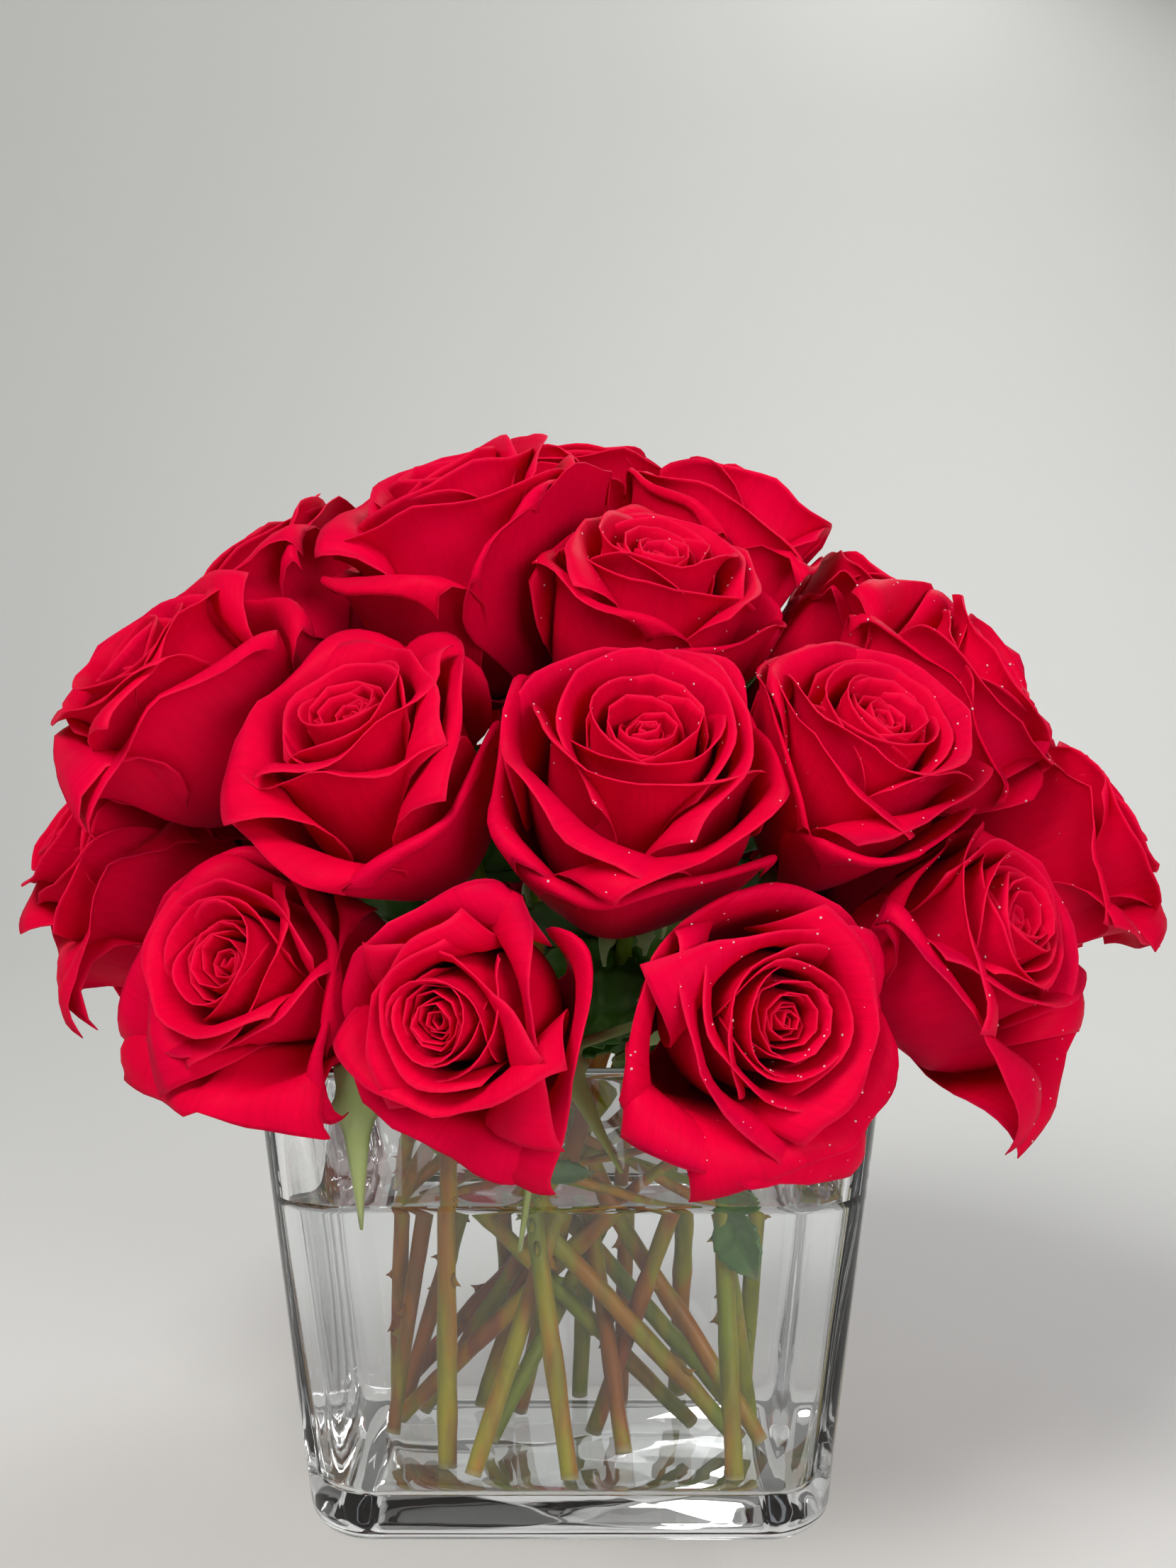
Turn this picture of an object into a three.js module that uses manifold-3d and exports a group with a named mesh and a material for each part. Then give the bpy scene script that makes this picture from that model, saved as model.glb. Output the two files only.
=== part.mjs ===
// Two dozen and one crimson roses in a clear square vase. Millimetres, +Z up,
// origin at the middle of the vase's foot, the bouquet's front towards -Y.
import * as THREE from 'three';
import { mergeVertices } from 'three/addons/utils/BufferGeometryUtils.js';
import Module from 'manifold-3d';

const wasm = await Module();
wasm.setup();

// Vase: thick clear glass, square, wider at the mouth than at the foot
const VASE_HEIGHT = 110;
const FOOT_HALF = 57.5;
const MOUTH_HALF = 68;
const WALL = 6.5;
const FLOOR = 10.5;
const CORNER_OUTSIDE = 14;
const CORNER_INSIDE = 9;
const FOOT_ROUNDING = 7;
const FLOOR_ROUNDING = 5;
const CORNER_STEPS = 4;
const FLAT_TOLERANCE = 0.02;

// Water
const WATER_LEVEL = 78;
const GAP = 0.3;

// Stems
const STEM_SIDES = 5;
const STEM_TAPER = 0.3;
const BEND_LEVEL = 86;
const BEND_SHARES = [0.34, 0.6, 0.82, 1];
const BEND_SOFTNESS = 0.4;
const NECK_PULL = 30;
const NECK_LENGTH = 3;
const MOUTH_SHARE = 0.74;
const MOUTH_CLEARANCE = 1.2;

// Hip under each bloom: depth below the bloom's base and radius, from the neck up
const HIP_LENGTH = 9;
const HIP_PROFILE = [[HIP_LENGTH, 2.7], [4.5, 4.6], [GAP, 4.4]];

// How stems are pushed clear of each other
const STRAIGHT_SAMPLES = 24;
const BEND_SAMPLES = 12;
const ROUTE_CLEARANCE = 1;
const ROUTE_PUSH = 0.12;
const ROUTE_ROUNDS = 160;

// Sepals: one on each face of a hip, rooted below its top and bent back
const SEPAL_DEPTH = 2.6;
const SEPAL_SEAT = 2.4;
const SEPAL_WIDTH = 5.4;
const SEPAL_THICKNESS = 1.2;
const SEPAL_ROOT = 0.35;
const SEPAL_REACH = 7;
const SEPAL_DIP = 1.5;
const SEPAL_DROP = 15;
const SEPAL_SAG = 4;

// Petals: nine to a bloom, wound round its axis from the heart outwards as one sheet that
// is notched deeply between them
const BLOOM_LENGTH = 44;
const CUP_DEPTH = 0.4;
const PETALS = 9;
const PETAL_TURN = 106;
const PETAL_COLUMNS = 3;
const PETAL_THICKNESS = 0.9;
const SAMPLES_ALONG = [0, 0.3, 0.74, 1];
const STEPS_ALONG = 40;
const NOTCH = 0.84;
const LENGTH_SPREAD = 0.05;
const OPENING = 34;
const ROOT_LOWEST = 0.5;
const ROOT_HIGHEST = 12;

// Petal tables: rows from the innermost petal to the outermost, knots along the petal
const KNOTS = [0, 0.2, 0.45, 0.7, 0.88, 1];
const ORDERS = [0, 0.25, 0.5, 0.75, 1];
const LEAN = [
  [8, 5, 1, -3, -6, -6],
  [44, 20, -2, -6, -5, -2],
  [66, 32, -1, -6, -3, 6],
  [82, 46, 3, -4, 4, 26],
  [88, 62, 12, 4, 18, 52],
];
const LENGTH = [32, 37, 42, 47, 50];
const ROOT_RADIUS = [1.3, 1.8, 2.3, 2.8, 3.2];
const LIP_ROLL = [2, 8, 25, 60, 90];
const LIP_SHARE = [0.1, 0.13, 0.16, 0.19, 0.22];

// Crowding: how petals give way to their neighbours and to the vase's rim
const SOFT_ZONE = 9;
const HALF_GAP = 0.62;
const NEIGHBOUR_REACH = 105;
const RIM_CLEARANCE = 1.2;
const RIM_SLOPE = 1.6;

// Roses: face centre, tilt of the axis from upright in degrees, size, openness, turn of the
// axis off the outward direction, spin of the petals about the axis where it isn't drawn, the
// foot of the stem on the vase's floor, where its bend starts if that isn't left to the rule,
// its radius
const ROSES = [
  { at: [-29, -8, 234], tilt: 20, size: 1.26, open: 0.55, foot: [43, -12], stem: 2.1 },
  { at: [20, -36, 219], tilt: 24, size: 1.0, open: 0.6, foot: [-12, 22], stem: 2.0 },
  { at: [6, 44, 237], tilt: 16, size: 1.08, open: 0.5, foot: [14, -14], stem: 2.0 },
  { at: [45, 14, 228], tilt: 28, size: 1.14, open: 0.65, foot: [-34, 26], stem: 2.0 },
  { at: [-46, -69, 187], tilt: 38, size: 1.08, open: 0.5, spin: 43,
    foot: [-28, -27], bend: [-28, -24], stem: 2.1 },
  { at: [16, -82, 186], tilt: 39, size: 1.2, open: 0.65, turned: -6, spin: 323,
    foot: [-22, -36], bend: [2, -22], stem: 2.1 },
  { at: [66, -64, 186], tilt: 40, size: 1.04, open: 0.6, turned: -12, spin: 303,
    foot: [2, 6], stem: 2.0 },
  { at: [73, 14, 207], tilt: 38, size: 1.12, open: 0.55, foot: [-42, 36], stem: 2.0 },
  { at: [96, -26, 192], tilt: 52, size: 0.96, open: 0.5, foot: [-40, 8], stem: 2.1 },
  { at: [-79, 18, 214], tilt: 42, size: 1.06, open: 0.5, foot: [40, 18], stem: 2.1 },
  { at: [-98, -30, 195], tilt: 44, size: 1.08, open: 0.55, foot: [30, 6], stem: 2.0 },
  { at: [64, 66, 184], tilt: 48, size: 1.02, open: 0.55, foot: [-20, -6], stem: 2.0 },
  { at: [3, 84, 190], tilt: 44, size: 1.04, open: 0.5, foot: [2, 38], stem: 2.0 },
  { at: [-58, 66, 187], tilt: 48, size: 1.04, open: 0.6, foot: [-14, 38], stem: 2.0 },
  { at: [-73, -70, 135], tilt: 66, size: 1.04, open: 0.5, turned: 10, spin: 60,
    foot: [44, -2], stem: 2.1 },
  { at: [-26, -103, 129], tilt: 84, size: 0.92, open: 0.35, turned: -8, spin: 30,
    foot: [0, -38], bend: [-10, -31], stem: 2.1 },
  { at: [44, -102, 129], tilt: 82, size: 0.97, open: 0.6, spin: 318,
    foot: [37, -38], bend: [34, -27], stem: 2.0 },
  { at: [96, -68, 144], tilt: 62, size: 1.06, open: 0.5, spin: 10, foot: [43, 14], stem: 2.1 },
  { at: [128, -4, 156], tilt: 62, size: 1.06, open: 0.5, turned: -4, foot: [42, 28], stem: 2.0 },
  { at: [101, 60, 139], tilt: 74, size: 1.06, open: 0.5, foot: [26, 40], stem: 2.0 },
  { at: [53, 104, 136], tilt: 77, size: 1.06, open: 0.6, foot: [12, 30], stem: 2.1 },
  { at: [-13, 114, 136], tilt: 78, size: 1.06, open: 0.5, foot: [-26, 26], stem: 2.0 },
  { at: [-70, 90, 138], tilt: 76, size: 1.06, open: 0.55, foot: [-42, 20], stem: 2.1 },
  { at: [-110, 42, 143], tilt: 74, size: 1.04, open: 0.5, foot: [-43, 2], stem: 2.0 },
  { at: [-116, -16, 155], tilt: 60, size: 1.06, open: 0.5, turned: 6, foot: [-43, 26], stem: 2.0 },
];

// Leaves on stems: rose number, height of the joint, heading and tilt in degrees, length
const LEAVES = [
  { rose: 17, height: 74, heading: -55, tilt: -52, length: 19 },
  { rose: 16, height: 76, heading: 12, tilt: 4, length: 15 },
];
const LEAF_THICKNESS = 0.9;
const LEAF_TEETH = 4;
const LEAF_SHARE = 0.3;
const LEAF_NOTCH = 0.86;
const LEAF_TWIST = 60;
const TOOTH_SHARE = 0.75;
const STALK_HALF = 0.8;

// Small maths
const radians = THREE.MathUtils.degToRad;
const clamp = THREE.MathUtils.clamp;
const smooth = (a, b, x) => THREE.MathUtils.smoothstep(x, a, b);
const vector = (x, y, z) => new THREE.Vector3(x, y, z);

function fromTable(places, values, at) {
  if (at <= places[0]) return values[0];
  for (let i = 1; i < places.length; i++) {
    if (at <= places[i]) {
      const share = (at - places[i - 1]) / (places[i] - places[i - 1]);
      return values[i - 1] + (values[i] - values[i - 1]) * share;
    }
  }
  return values[values.length - 1];
}

// Seeded draws between two bounds
function makeDraw(seed) {
  let state = (seed * 7919 + 12345) % 2147483647;
  const next = () => {
    state = (state * 16807) % 2147483647;
    return state / 2147483647;
  };
  for (let i = 0; i < 3; i++) next();
  return (low, high) => low + (high - low) * next();
}

// Solids
function toSolid(geometry) {
  const plain = geometry.clone();
  plain.deleteAttribute('normal');
  plain.deleteAttribute('uv');
  const merged = mergeVertices(plain, 1e-4);
  const corners = merged.index.array;
  const kept = [];
  for (let i = 0; i < corners.length; i += 3) {
    const [a, b, c] = corners.slice(i, i + 3);
    if (a !== b && b !== c && c !== a) kept.push(a, b, c);
  }
  return new wasm.Manifold(new wasm.Mesh({
    numProp: 3,
    vertProperties: new Float32Array(merged.attributes.position.array),
    triVerts: new Uint32Array(kept),
  }));
}

function toGeometry(solid) {
  const mesh = solid.getMesh();
  const geometry = new THREE.BufferGeometry();
  geometry.setAttribute('position', new THREE.BufferAttribute(mesh.vertProperties, 3));
  geometry.setIndex(new THREE.BufferAttribute(mesh.triVerts, 1));
  geometry.computeVertexNormals();
  return geometry;
}

function largestBody(solid) {
  const bodies = solid.decompose();
  return bodies.reduce((best, body) => (body.volume() > best.volume() ? body : best));
}

function fuse(solids) {
  return largestBody(solids.reduce((joined, solid) => joined.add(solid)));
}

// A closed sheet of even thickness about a grid of points
function sheetGeometry(grid, thickness) {
  const rows = grid.length;
  const columns = grid[0].length;
  const normalAt = (i, j) => {
    const along = grid[Math.min(i + 1, rows - 1)][j].clone().sub(grid[Math.max(i - 1, 0)][j]);
    const across = grid[i][Math.min(j + 1, columns - 1)].clone().sub(grid[i][Math.max(j - 1, 0)]);
    return across.cross(along).normalize();
  };
  const positions = [];
  for (const side of [0.5, -0.5]) {
    for (let i = 0; i < rows; i++) {
      for (let j = 0; j < columns; j++) {
        const point = grid[i][j].clone().addScaledVector(normalAt(i, j), side * thickness);
        positions.push(point.x, point.y, point.z);
      }
    }
  }
  const indices = [];
  const back = rows * columns;
  const quad = (a, b, c, d) => indices.push(a, b, c, a, c, d);
  for (let i = 0; i < rows - 1; i++) {
    for (let j = 0; j < columns - 1; j++) {
      const a = i * columns + j;
      const b = a + 1;
      const c = a + columns + 1;
      const d = a + columns;
      indices.push(a, b, c, a, c, d);
      indices.push(back + a, back + c, back + b, back + a, back + d, back + c);
    }
  }
  for (let j = 0; j < columns - 1; j++) {
    const top = (rows - 1) * columns + j;
    quad(j, back + j, back + j + 1, j + 1);
    quad(top + 1, back + top + 1, back + top, top);
  }
  for (let i = 0; i < rows - 1; i++) {
    const left = i * columns;
    const right = left + columns - 1;
    quad(left + columns, back + left + columns, back + left, left);
    quad(right, back + right, back + right + columns, right + columns);
  }
  const geometry = new THREE.BufferGeometry();
  geometry.setAttribute('position', new THREE.Float32BufferAttribute(positions, 3));
  geometry.setIndex(indices);
  return geometry;
}

// Vase: a square prism with round corners, widened towards the mouth
function roundedSquare(half, radius) {
  const shape = new THREE.Shape();
  const flat = half - radius;
  shape.moveTo(flat, -half);
  shape.absarc(flat, -flat, radius, -Math.PI / 2, 0, false);
  shape.absarc(flat, flat, radius, 0, Math.PI / 2, false);
  shape.absarc(-flat, flat, radius, Math.PI / 2, Math.PI, false);
  shape.absarc(-flat, -flat, radius, Math.PI, Math.PI * 1.5, false);
  shape.closePath();
  return shape;
}

const outsideHalf = (z) => FOOT_HALF + ((MOUTH_HALF - FOOT_HALF) * z) / VASE_HEIGHT;
const insideHalf = (z) => outsideHalf(z) - WALL;

function taperedPrism(halfAt, radius, bottom, top, edge, edgeSteps) {
  const half = halfAt(0);
  const geometry = new THREE.ExtrudeGeometry(roundedSquare(half - edge, radius - edge), {
    depth: top - bottom - 2 * edge,
    bevelEnabled: true,
    bevelThickness: edge,
    bevelSize: edge,
    bevelSegments: edgeSteps,
    curveSegments: CORNER_STEPS,
  });
  geometry.translate(0, 0, bottom + edge);
  const position = geometry.attributes.position;
  for (let i = 0; i < position.count; i++) {
    const scale = halfAt(position.getZ(i)) / half;
    position.setXY(i, position.getX(i) * scale, position.getY(i) * scale);
  }
  return geometry;
}

// A slab over the wanted height of a tapered prism
function slab(bottom, top) {
  const geometry = new THREE.BoxGeometry(4 * MOUTH_HALF, 4 * MOUTH_HALF, top - bottom);
  geometry.translate(0, 0, (bottom + top) / 2);
  return toSolid(geometry);
}

function vaseSolid() {
  const top = VASE_HEIGHT + 3 * FOOT_ROUNDING;
  const outer = toSolid(taperedPrism(outsideHalf, CORNER_OUTSIDE, 0, top, FOOT_ROUNDING, 3));
  const inner = toSolid(taperedPrism(insideHalf, CORNER_INSIDE, FLOOR, top, FLOOR_ROUNDING, 2));
  return outer.subtract(inner).intersect(slab(-1, VASE_HEIGHT)).simplify(FLAT_TOLERANCE);
}

function waterBlock() {
  const half = (z) => insideHalf(z) - GAP;
  const top = WATER_LEVEL + 3 * FLOOR_ROUNDING;
  const block = toSolid(taperedPrism(half, CORNER_INSIDE, FLOOR + GAP, top, FLOOR_ROUNDING, 2));
  return block.intersect(slab(0, WATER_LEVEL));
}

// Where each rose stands: base at the hip, axis, and the middle of its cup
function bloomFrame(rose, number) {
  const face = vector(...rose.at);
  const heading = Math.atan2(face.x, -face.y) + radians(rose.turned || 0);
  const tilt = radians(rose.tilt);
  const axis = vector(
    Math.sin(tilt) * Math.sin(heading), -Math.sin(tilt) * Math.cos(heading), Math.cos(tilt));
  const length = BLOOM_LENGTH * rose.size;
  const base = face.clone().addScaledVector(axis, -length);
  const middle = face.clone().addScaledVector(axis, -CUP_DEPTH * length);
  const side = vector(0, 0, 1).cross(axis).normalize();
  const front = axis.clone().cross(side);
  const drawn = makeDraw(500 + number)(0, 2 * Math.PI);
  const turn = rose.spin === undefined ? drawn : radians(rose.spin);
  return { base, axis, middle, side, front, turn };
}

const FRAMES = ROSES.map(bloomFrame);

function placeInBloom(frame, x, y, z) {
  const c = Math.cos(frame.turn);
  const s = Math.sin(frame.turn);
  return frame.base.clone()
    .addScaledVector(frame.side, x * c - y * s)
    .addScaledVector(frame.front, x * s + y * c)
    .addScaledVector(frame.axis, z);
}

// Crowding: a soft wall that a distance only nears and never passes
function softWall(distance, least) {
  if (distance >= SOFT_ZONE) return distance;
  const span = SOFT_ZONE - least;
  return least + span * Math.exp((distance - SOFT_ZONE) / span);
}

function wallsAround(number) {
  const own = FRAMES[number].middle;
  const walls = [];
  FRAMES.forEach((other, index) => {
    if (index === number || other.middle.distanceTo(own) > NEIGHBOUR_REACH) return;
    const normal = own.clone().sub(other.middle).normalize();
    const share = ROSES[index].size / (ROSES[index].size + ROSES[number].size);
    const through = other.middle.clone().lerp(own, share);
    walls.push({ normal, offset: normal.dot(through) });
  });
  return walls;
}

function keepInCell(point, walls) {
  for (let round = 0; round < 3; round++) {
    for (const wall of walls) {
      const distance = wall.normal.dot(point) - wall.offset;
      const kept = round === 0 ? softWall(distance, HALF_GAP) : Math.max(distance, HALF_GAP);
      point.addScaledVector(wall.normal, kept - distance);
    }
  }
  return point;
}

// The lowest height that a petal may take beside and over the vase's rim
function rimHeight(point) {
  const outside = Math.max(Math.abs(point.x), Math.abs(point.y)) - MOUTH_HALF - RIM_CLEARANCE;
  return VASE_HEIGHT + RIM_CLEARANCE - Math.max(outside, 0) * RIM_SLOPE;
}

function keepOffVase(point) {
  const lowest = rimHeight(point);
  point.z = lowest - HALF_GAP + softWall(point.z - lowest + HALF_GAP, HALF_GAP);
  return point;
}

// A petal's rib leans out from the bloom's axis and rolls over at the lip: its radius and
// height at each sample along it
function ribSamples(t, length, lip, opening) {
  const pick = (table) => fromTable(ORDERS, table, t);
  const full = pick(LENGTH);
  const lean = KNOTS.map((_, knot) => pick(LEAN.map((row) => row[knot])));
  const lipLength = pick(LIP_SHARE) * full;
  const step = length / STEPS_ALONG;
  let radius = pick(ROOT_RADIUS);
  let height = ROOT_HIGHEST + (ROOT_LOWEST - ROOT_HIGHEST) * t;
  const walked = [{ radius, height }];
  for (let i = 0; i < STEPS_ALONG; i++) {
    const run = (i + 0.5) * step;
    const rolled = clamp(1 - (length - run) / lipLength, 0, 1) ** 1.4;
    const opened = opening * t * smooth(0.1, 0.45, run / full);
    const angle = radians(fromTable(KNOTS, lean, run / full) + lip * rolled + opened);
    radius += Math.sin(angle) * step;
    height += Math.cos(angle) * step;
    walked.push({ radius, height });
  }
  return SAMPLES_ALONG.map((share) => walked[Math.round(share * STEPS_ALONG)]);
}

// The wound sheet, column by column from the heart outwards
function bloomSolid(rose, number) {
  const frame = FRAMES[number];
  const walls = wallsAround(number);
  const draw = makeDraw(number + 1);
  const columns = PETALS * PETAL_COLUMNS;
  const grid = SAMPLES_ALONG.map(() => []);
  for (let column = 0; column <= columns; column++) {
    const t = column / columns;
    const between = column % PETAL_COLUMNS === 0;
    const share = between ? NOTCH : 1 + draw(-LENGTH_SPREAD, LENGTH_SPREAD);
    const lip = fromTable(ORDERS, LIP_ROLL, t) * draw(0.5, 1.3) * (between ? 0.5 : 1);
    const length = fromTable(ORDERS, LENGTH, t) * share;
    const heading = radians((PETAL_TURN * (column - columns)) / PETAL_COLUMNS);
    ribSamples(t, length, lip, OPENING * (rose.open - 0.5)).forEach(({ radius, height }, row) => {
      const x = radius * Math.cos(heading) * rose.size;
      const y = radius * Math.sin(heading) * rose.size;
      const point = placeInBloom(frame, x, y, height * rose.size);
      grid[row].push(keepOffVase(keepInCell(keepOffVase(point), walls)));
    });
  }
  return toSolid(sheetGeometry(grid, PETAL_THICKNESS));
}

// Stems: straight from the vase's floor to just above the water, then bent into the hip
class Polyline extends THREE.Curve {
  constructor(points) {
    super();
    this.points = points;
  }

  getPointAt(share) {
    const place = share * (this.points.length - 1);
    const index = Math.min(Math.floor(place), this.points.length - 2);
    return this.points[index].clone().lerp(this.points[index + 1], place - index);
  }

  getTangentAt(share) {
    const last = this.points.length - 1;
    const index = Math.round(share * last);
    const leg = (i) => this.points[i + 1].clone().sub(this.points[i]).normalize();
    if (index === 0) return leg(0);
    if (index === last) return leg(last - 1);
    return leg(index - 1).add(leg(index)).normalize();
  }
}

const hipFoot = (number) => FRAMES[number].base.clone()
  .addScaledVector(FRAMES[number].axis, -HIP_LENGTH - NECK_LENGTH);

// The bend between a stem's straight part and its hip
function neckCurve(number, foot, bendStart) {
  const top = hipFoot(number);
  const reach = bendStart.distanceTo(top);
  const direction = bendStart.clone().sub(foot).normalize();
  return new THREE.CubicBezierCurve3(
    bendStart,
    bendStart.clone().addScaledVector(direction, BEND_SOFTNESS * reach),
    top.clone().addScaledVector(FRAMES[number].axis, -BEND_SOFTNESS * reach),
    top);
}

// Ends that every stem starts from: its foot, and the place where its bend starts
function firstEnds(rose, number) {
  const { base, axis } = FRAMES[number];
  const under = base.clone().addScaledVector(axis, -NECK_PULL);
  const limit = insideHalf(BEND_LEVEL) - rose.stem - MOUTH_CLEARANCE;
  const [x, y] = rose.bend || [under.x * MOUTH_SHARE, under.y * MOUTH_SHARE];
  return {
    foot: vector(rose.foot[0], rose.foot[1], FLOOR + 1),
    bend: vector(clamp(x, -limit, limit), clamp(y, -limit, limit), BEND_LEVEL),
  };
}

// Sample points of a stem: how far each follows the foot and the start of the bend
function routeSamples(number, ends) {
  const samples = [];
  for (let i = 0; i < STRAIGHT_SAMPLES; i++) {
    const share = i / STRAIGHT_SAMPLES;
    samples.push({ point: ends.foot.clone().lerp(ends.bend, share), foot: 1 - share, bend: share });
  }
  const curve = neckCurve(number, ends.foot, ends.bend);
  for (let i = 0; i < BEND_SAMPLES; i++) {
    const share = i / BEND_SAMPLES;
    samples.push({ point: curve.getPoint(share), foot: 0, bend: 1 - share });
  }
  return samples;
}

// One round: the ends of every stem are moved at once, by what crowds them as they stood
function relaxOnce(allEnds) {
  const samples = allEnds.map((ends, number) => routeSamples(number, ends));
  const moves = allEnds.map(() => ({ foot: [0, 0], bend: [0, 0] }));
  const move = (number, sample, x, y) => {
    for (const end of ['foot', 'bend']) {
      moves[number][end][0] += x * sample[end];
      moves[number][end][1] += y * sample[end];
    }
  };
  for (let a = 0; a < samples.length; a++) {
    for (let b = 0; b < a; b++) {
      const wanted = ROSES[a].stem + ROSES[b].stem + ROUTE_CLEARANCE;
      for (const p of samples[a]) {
        for (const q of samples[b]) {
          const x = p.point.x - q.point.x;
          const y = p.point.y - q.point.y;
          const z = p.point.z - q.point.z;
          if (Math.abs(z) > wanted || Math.abs(x) > wanted || Math.abs(y) > wanted) continue;
          const distance = Math.sqrt(x * x + y * y + z * z);
          if (distance >= wanted) continue;
          const level = Math.hypot(x, y) || 1;
          const push = (ROUTE_PUSH * (wanted - distance)) / level;
          move(a, p, x * push, y * push);
          move(b, q, -x * push, -y * push);
        }
      }
    }
  }
  return allEnds.map((ends, number) => {
    const shifted = {};
    for (const end of ['foot', 'bend']) {
      const limit = insideHalf(ends[end].z) - ROSES[number].stem
        - (end === 'foot' ? FLOOR_ROUNDING : MOUTH_CLEARANCE);
      shifted[end] = vector(
        clamp(ends[end].x + moves[number][end][0], -limit, limit),
        clamp(ends[end].y + moves[number][end][1], -limit, limit),
        ends[end].z);
    }
    return shifted;
  });
}

// The rings of a stem from its foot to the top of its hip, with a radius at each
function stemRings(rose, number, ends) {
  const { base, axis } = FRAMES[number];
  const slope = ends.bend.clone().sub(ends.foot).normalize();
  const foot = ends.foot.clone();
  foot.z = FLOOR + GAP + rose.stem * Math.hypot(slope.x, slope.y);
  const curve = neckCurve(number, foot, ends.bend);
  const points = [foot, ends.bend];
  const radii = [rose.stem, rose.stem];
  for (const share of BEND_SHARES) {
    points.push(curve.getPoint(share));
    radii.push(rose.stem - STEM_TAPER * share);
  }
  for (const [down, radius] of HIP_PROFILE) {
    points.push(base.clone().addScaledVector(axis, -down));
    radii.push(radius);
  }
  return { points, radii };
}

function relaxedRings() {
  let ends = ROSES.map(firstEnds);
  for (let round = 0; round < ROUTE_ROUNDS; round++) ends = relaxOnce(ends);
  return ROSES.map((rose, number) => stemRings(rose, number, ends[number]));
}

const RINGS = relaxedRings();

// A flat-sided tube through the points, as thick at each as its radius says
function tubeSolid(points, radii) {
  const section = new THREE.Shape();
  for (let i = 0; i < STEM_SIDES; i++) {
    const angle = (2 * Math.PI * i) / STEM_SIDES;
    section[i === 0 ? 'moveTo' : 'lineTo'](Math.cos(angle), Math.sin(angle));
  }
  section.closePath();
  const geometry = new THREE.ExtrudeGeometry(
    section, { steps: points.length - 1, extrudePath: new Polyline(points) });
  const position = geometry.attributes.position;
  const corner = vector(0, 0, 0);
  for (let i = 0; i < position.count; i++) {
    corner.fromBufferAttribute(position, i);
    const distances = points.map((point) => Math.abs(point.distanceTo(corner) - 1));
    const ring = distances.indexOf(Math.min(...distances));
    corner.sub(points[ring]).multiplyScalar(radii[ring]).add(points[ring]);
    position.setXYZ(i, corner.x, corner.y, corner.z);
  }
  return toSolid(geometry);
}

// The straight part of a stem with room round it, down through the water
function stemHole({ points, radii }) {
  const slope = points[1].clone().sub(points[0]).normalize();
  const below = points[0].clone().addScaledVector(slope, -FLOOR);
  const room = GAP / Math.cos(Math.PI / STEM_SIDES) + 0.02;
  return tubeSolid([below, ...points.slice(1)], radii.map((radius) => radius + room));
}

// A sepal: a thin three-sided blade that bends back from the hip and tapers to a point
function sepalSolid(frame, out, walls, draw) {
  const start = frame.base.clone().addScaledVector(frame.axis, -SEPAL_DEPTH)
    .addScaledVector(out, SEPAL_SEAT);
  const bendPoint = start.clone().addScaledVector(out, SEPAL_REACH)
    .addScaledVector(frame.axis, -SEPAL_DIP);
  const tip = bendPoint.clone().addScaledVector(frame.axis, -SEPAL_DROP * draw(0.7, 1))
    .addScaledVector(out, -SEPAL_DIP);
  tip.z -= SEPAL_SAG;
  const curve = new THREE.QuadraticBezierCurve3(start, bendPoint, tip);
  const across = frame.axis.clone().cross(out).normalize();
  const positions = [];
  const rows = [0, 0.5];
  for (const share of rows) {
    const point = curve.getPoint(share);
    const away = curve.getTangent(share).cross(across).normalize();
    const half = (SEPAL_WIDTH / 2) * (share === 0 ? SEPAL_ROOT : 1);
    for (const [sideways, up] of [[-half, 0], [half, 0], [0, SEPAL_THICKNESS]]) {
      const corner = point.clone().addScaledVector(across, sideways).addScaledVector(away, up);
      positions.push(...keepInCell(corner, walls).toArray());
    }
  }
  positions.push(...keepInCell(curve.getPoint(1), walls).toArray());
  const geometry = new THREE.BufferGeometry();
  geometry.setAttribute('position', new THREE.Float32BufferAttribute(positions, 3));
  geometry.setIndex([
    0, 2, 1,
    0, 1, 4, 0, 4, 3, 1, 2, 5, 1, 5, 4, 2, 0, 3, 2, 3, 5,
    3, 4, 6, 4, 5, 6, 5, 3, 6,
  ]);
  return outwards(geometry);
}

function outwards(geometry) {
  const solid = toSolid(geometry);
  if (solid.volume() > 0) return solid;
  const order = geometry.index.array;
  for (let i = 0; i < order.length; i += 3) [order[i], order[i + 1]] = [order[i + 1], order[i]];
  return toSolid(geometry);
}

// A toothed leaf, flat, with its stalk end sunk in the stem
function leafGeometry(leaf, grow) {
  const half = leaf.length * LEAF_SHARE + grow;
  const shape = new THREE.Shape();
  shape.moveTo(-grow, 0);
  const widthAt = (share) => half * Math.sin(Math.PI * share ** 0.8);
  const edge = (side) => {
    const points = [];
    for (let i = 0; i < LEAF_TEETH; i++) {
      const near = i / LEAF_TEETH;
      const far = (i + TOOTH_SHARE) / LEAF_TEETH;
      points.push([near * leaf.length, side * (widthAt(near) * LEAF_NOTCH + STALK_HALF + grow)]);
      points.push([far * leaf.length, side * (widthAt(far) + STALK_HALF + grow)]);
    }
    return points;
  };
  for (const [x, y] of edge(-1)) shape.lineTo(x, y);
  shape.lineTo(leaf.length + 1 + grow, 0);
  for (const [x, y] of edge(1).reverse()) shape.lineTo(x, y);
  shape.closePath();
  const depth = LEAF_THICKNESS + 2 * grow;
  const geometry = new THREE.ExtrudeGeometry(shape, { depth, bevelEnabled: false });
  geometry.translate(0, 0, -depth / 2);
  return geometry;
}

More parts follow.
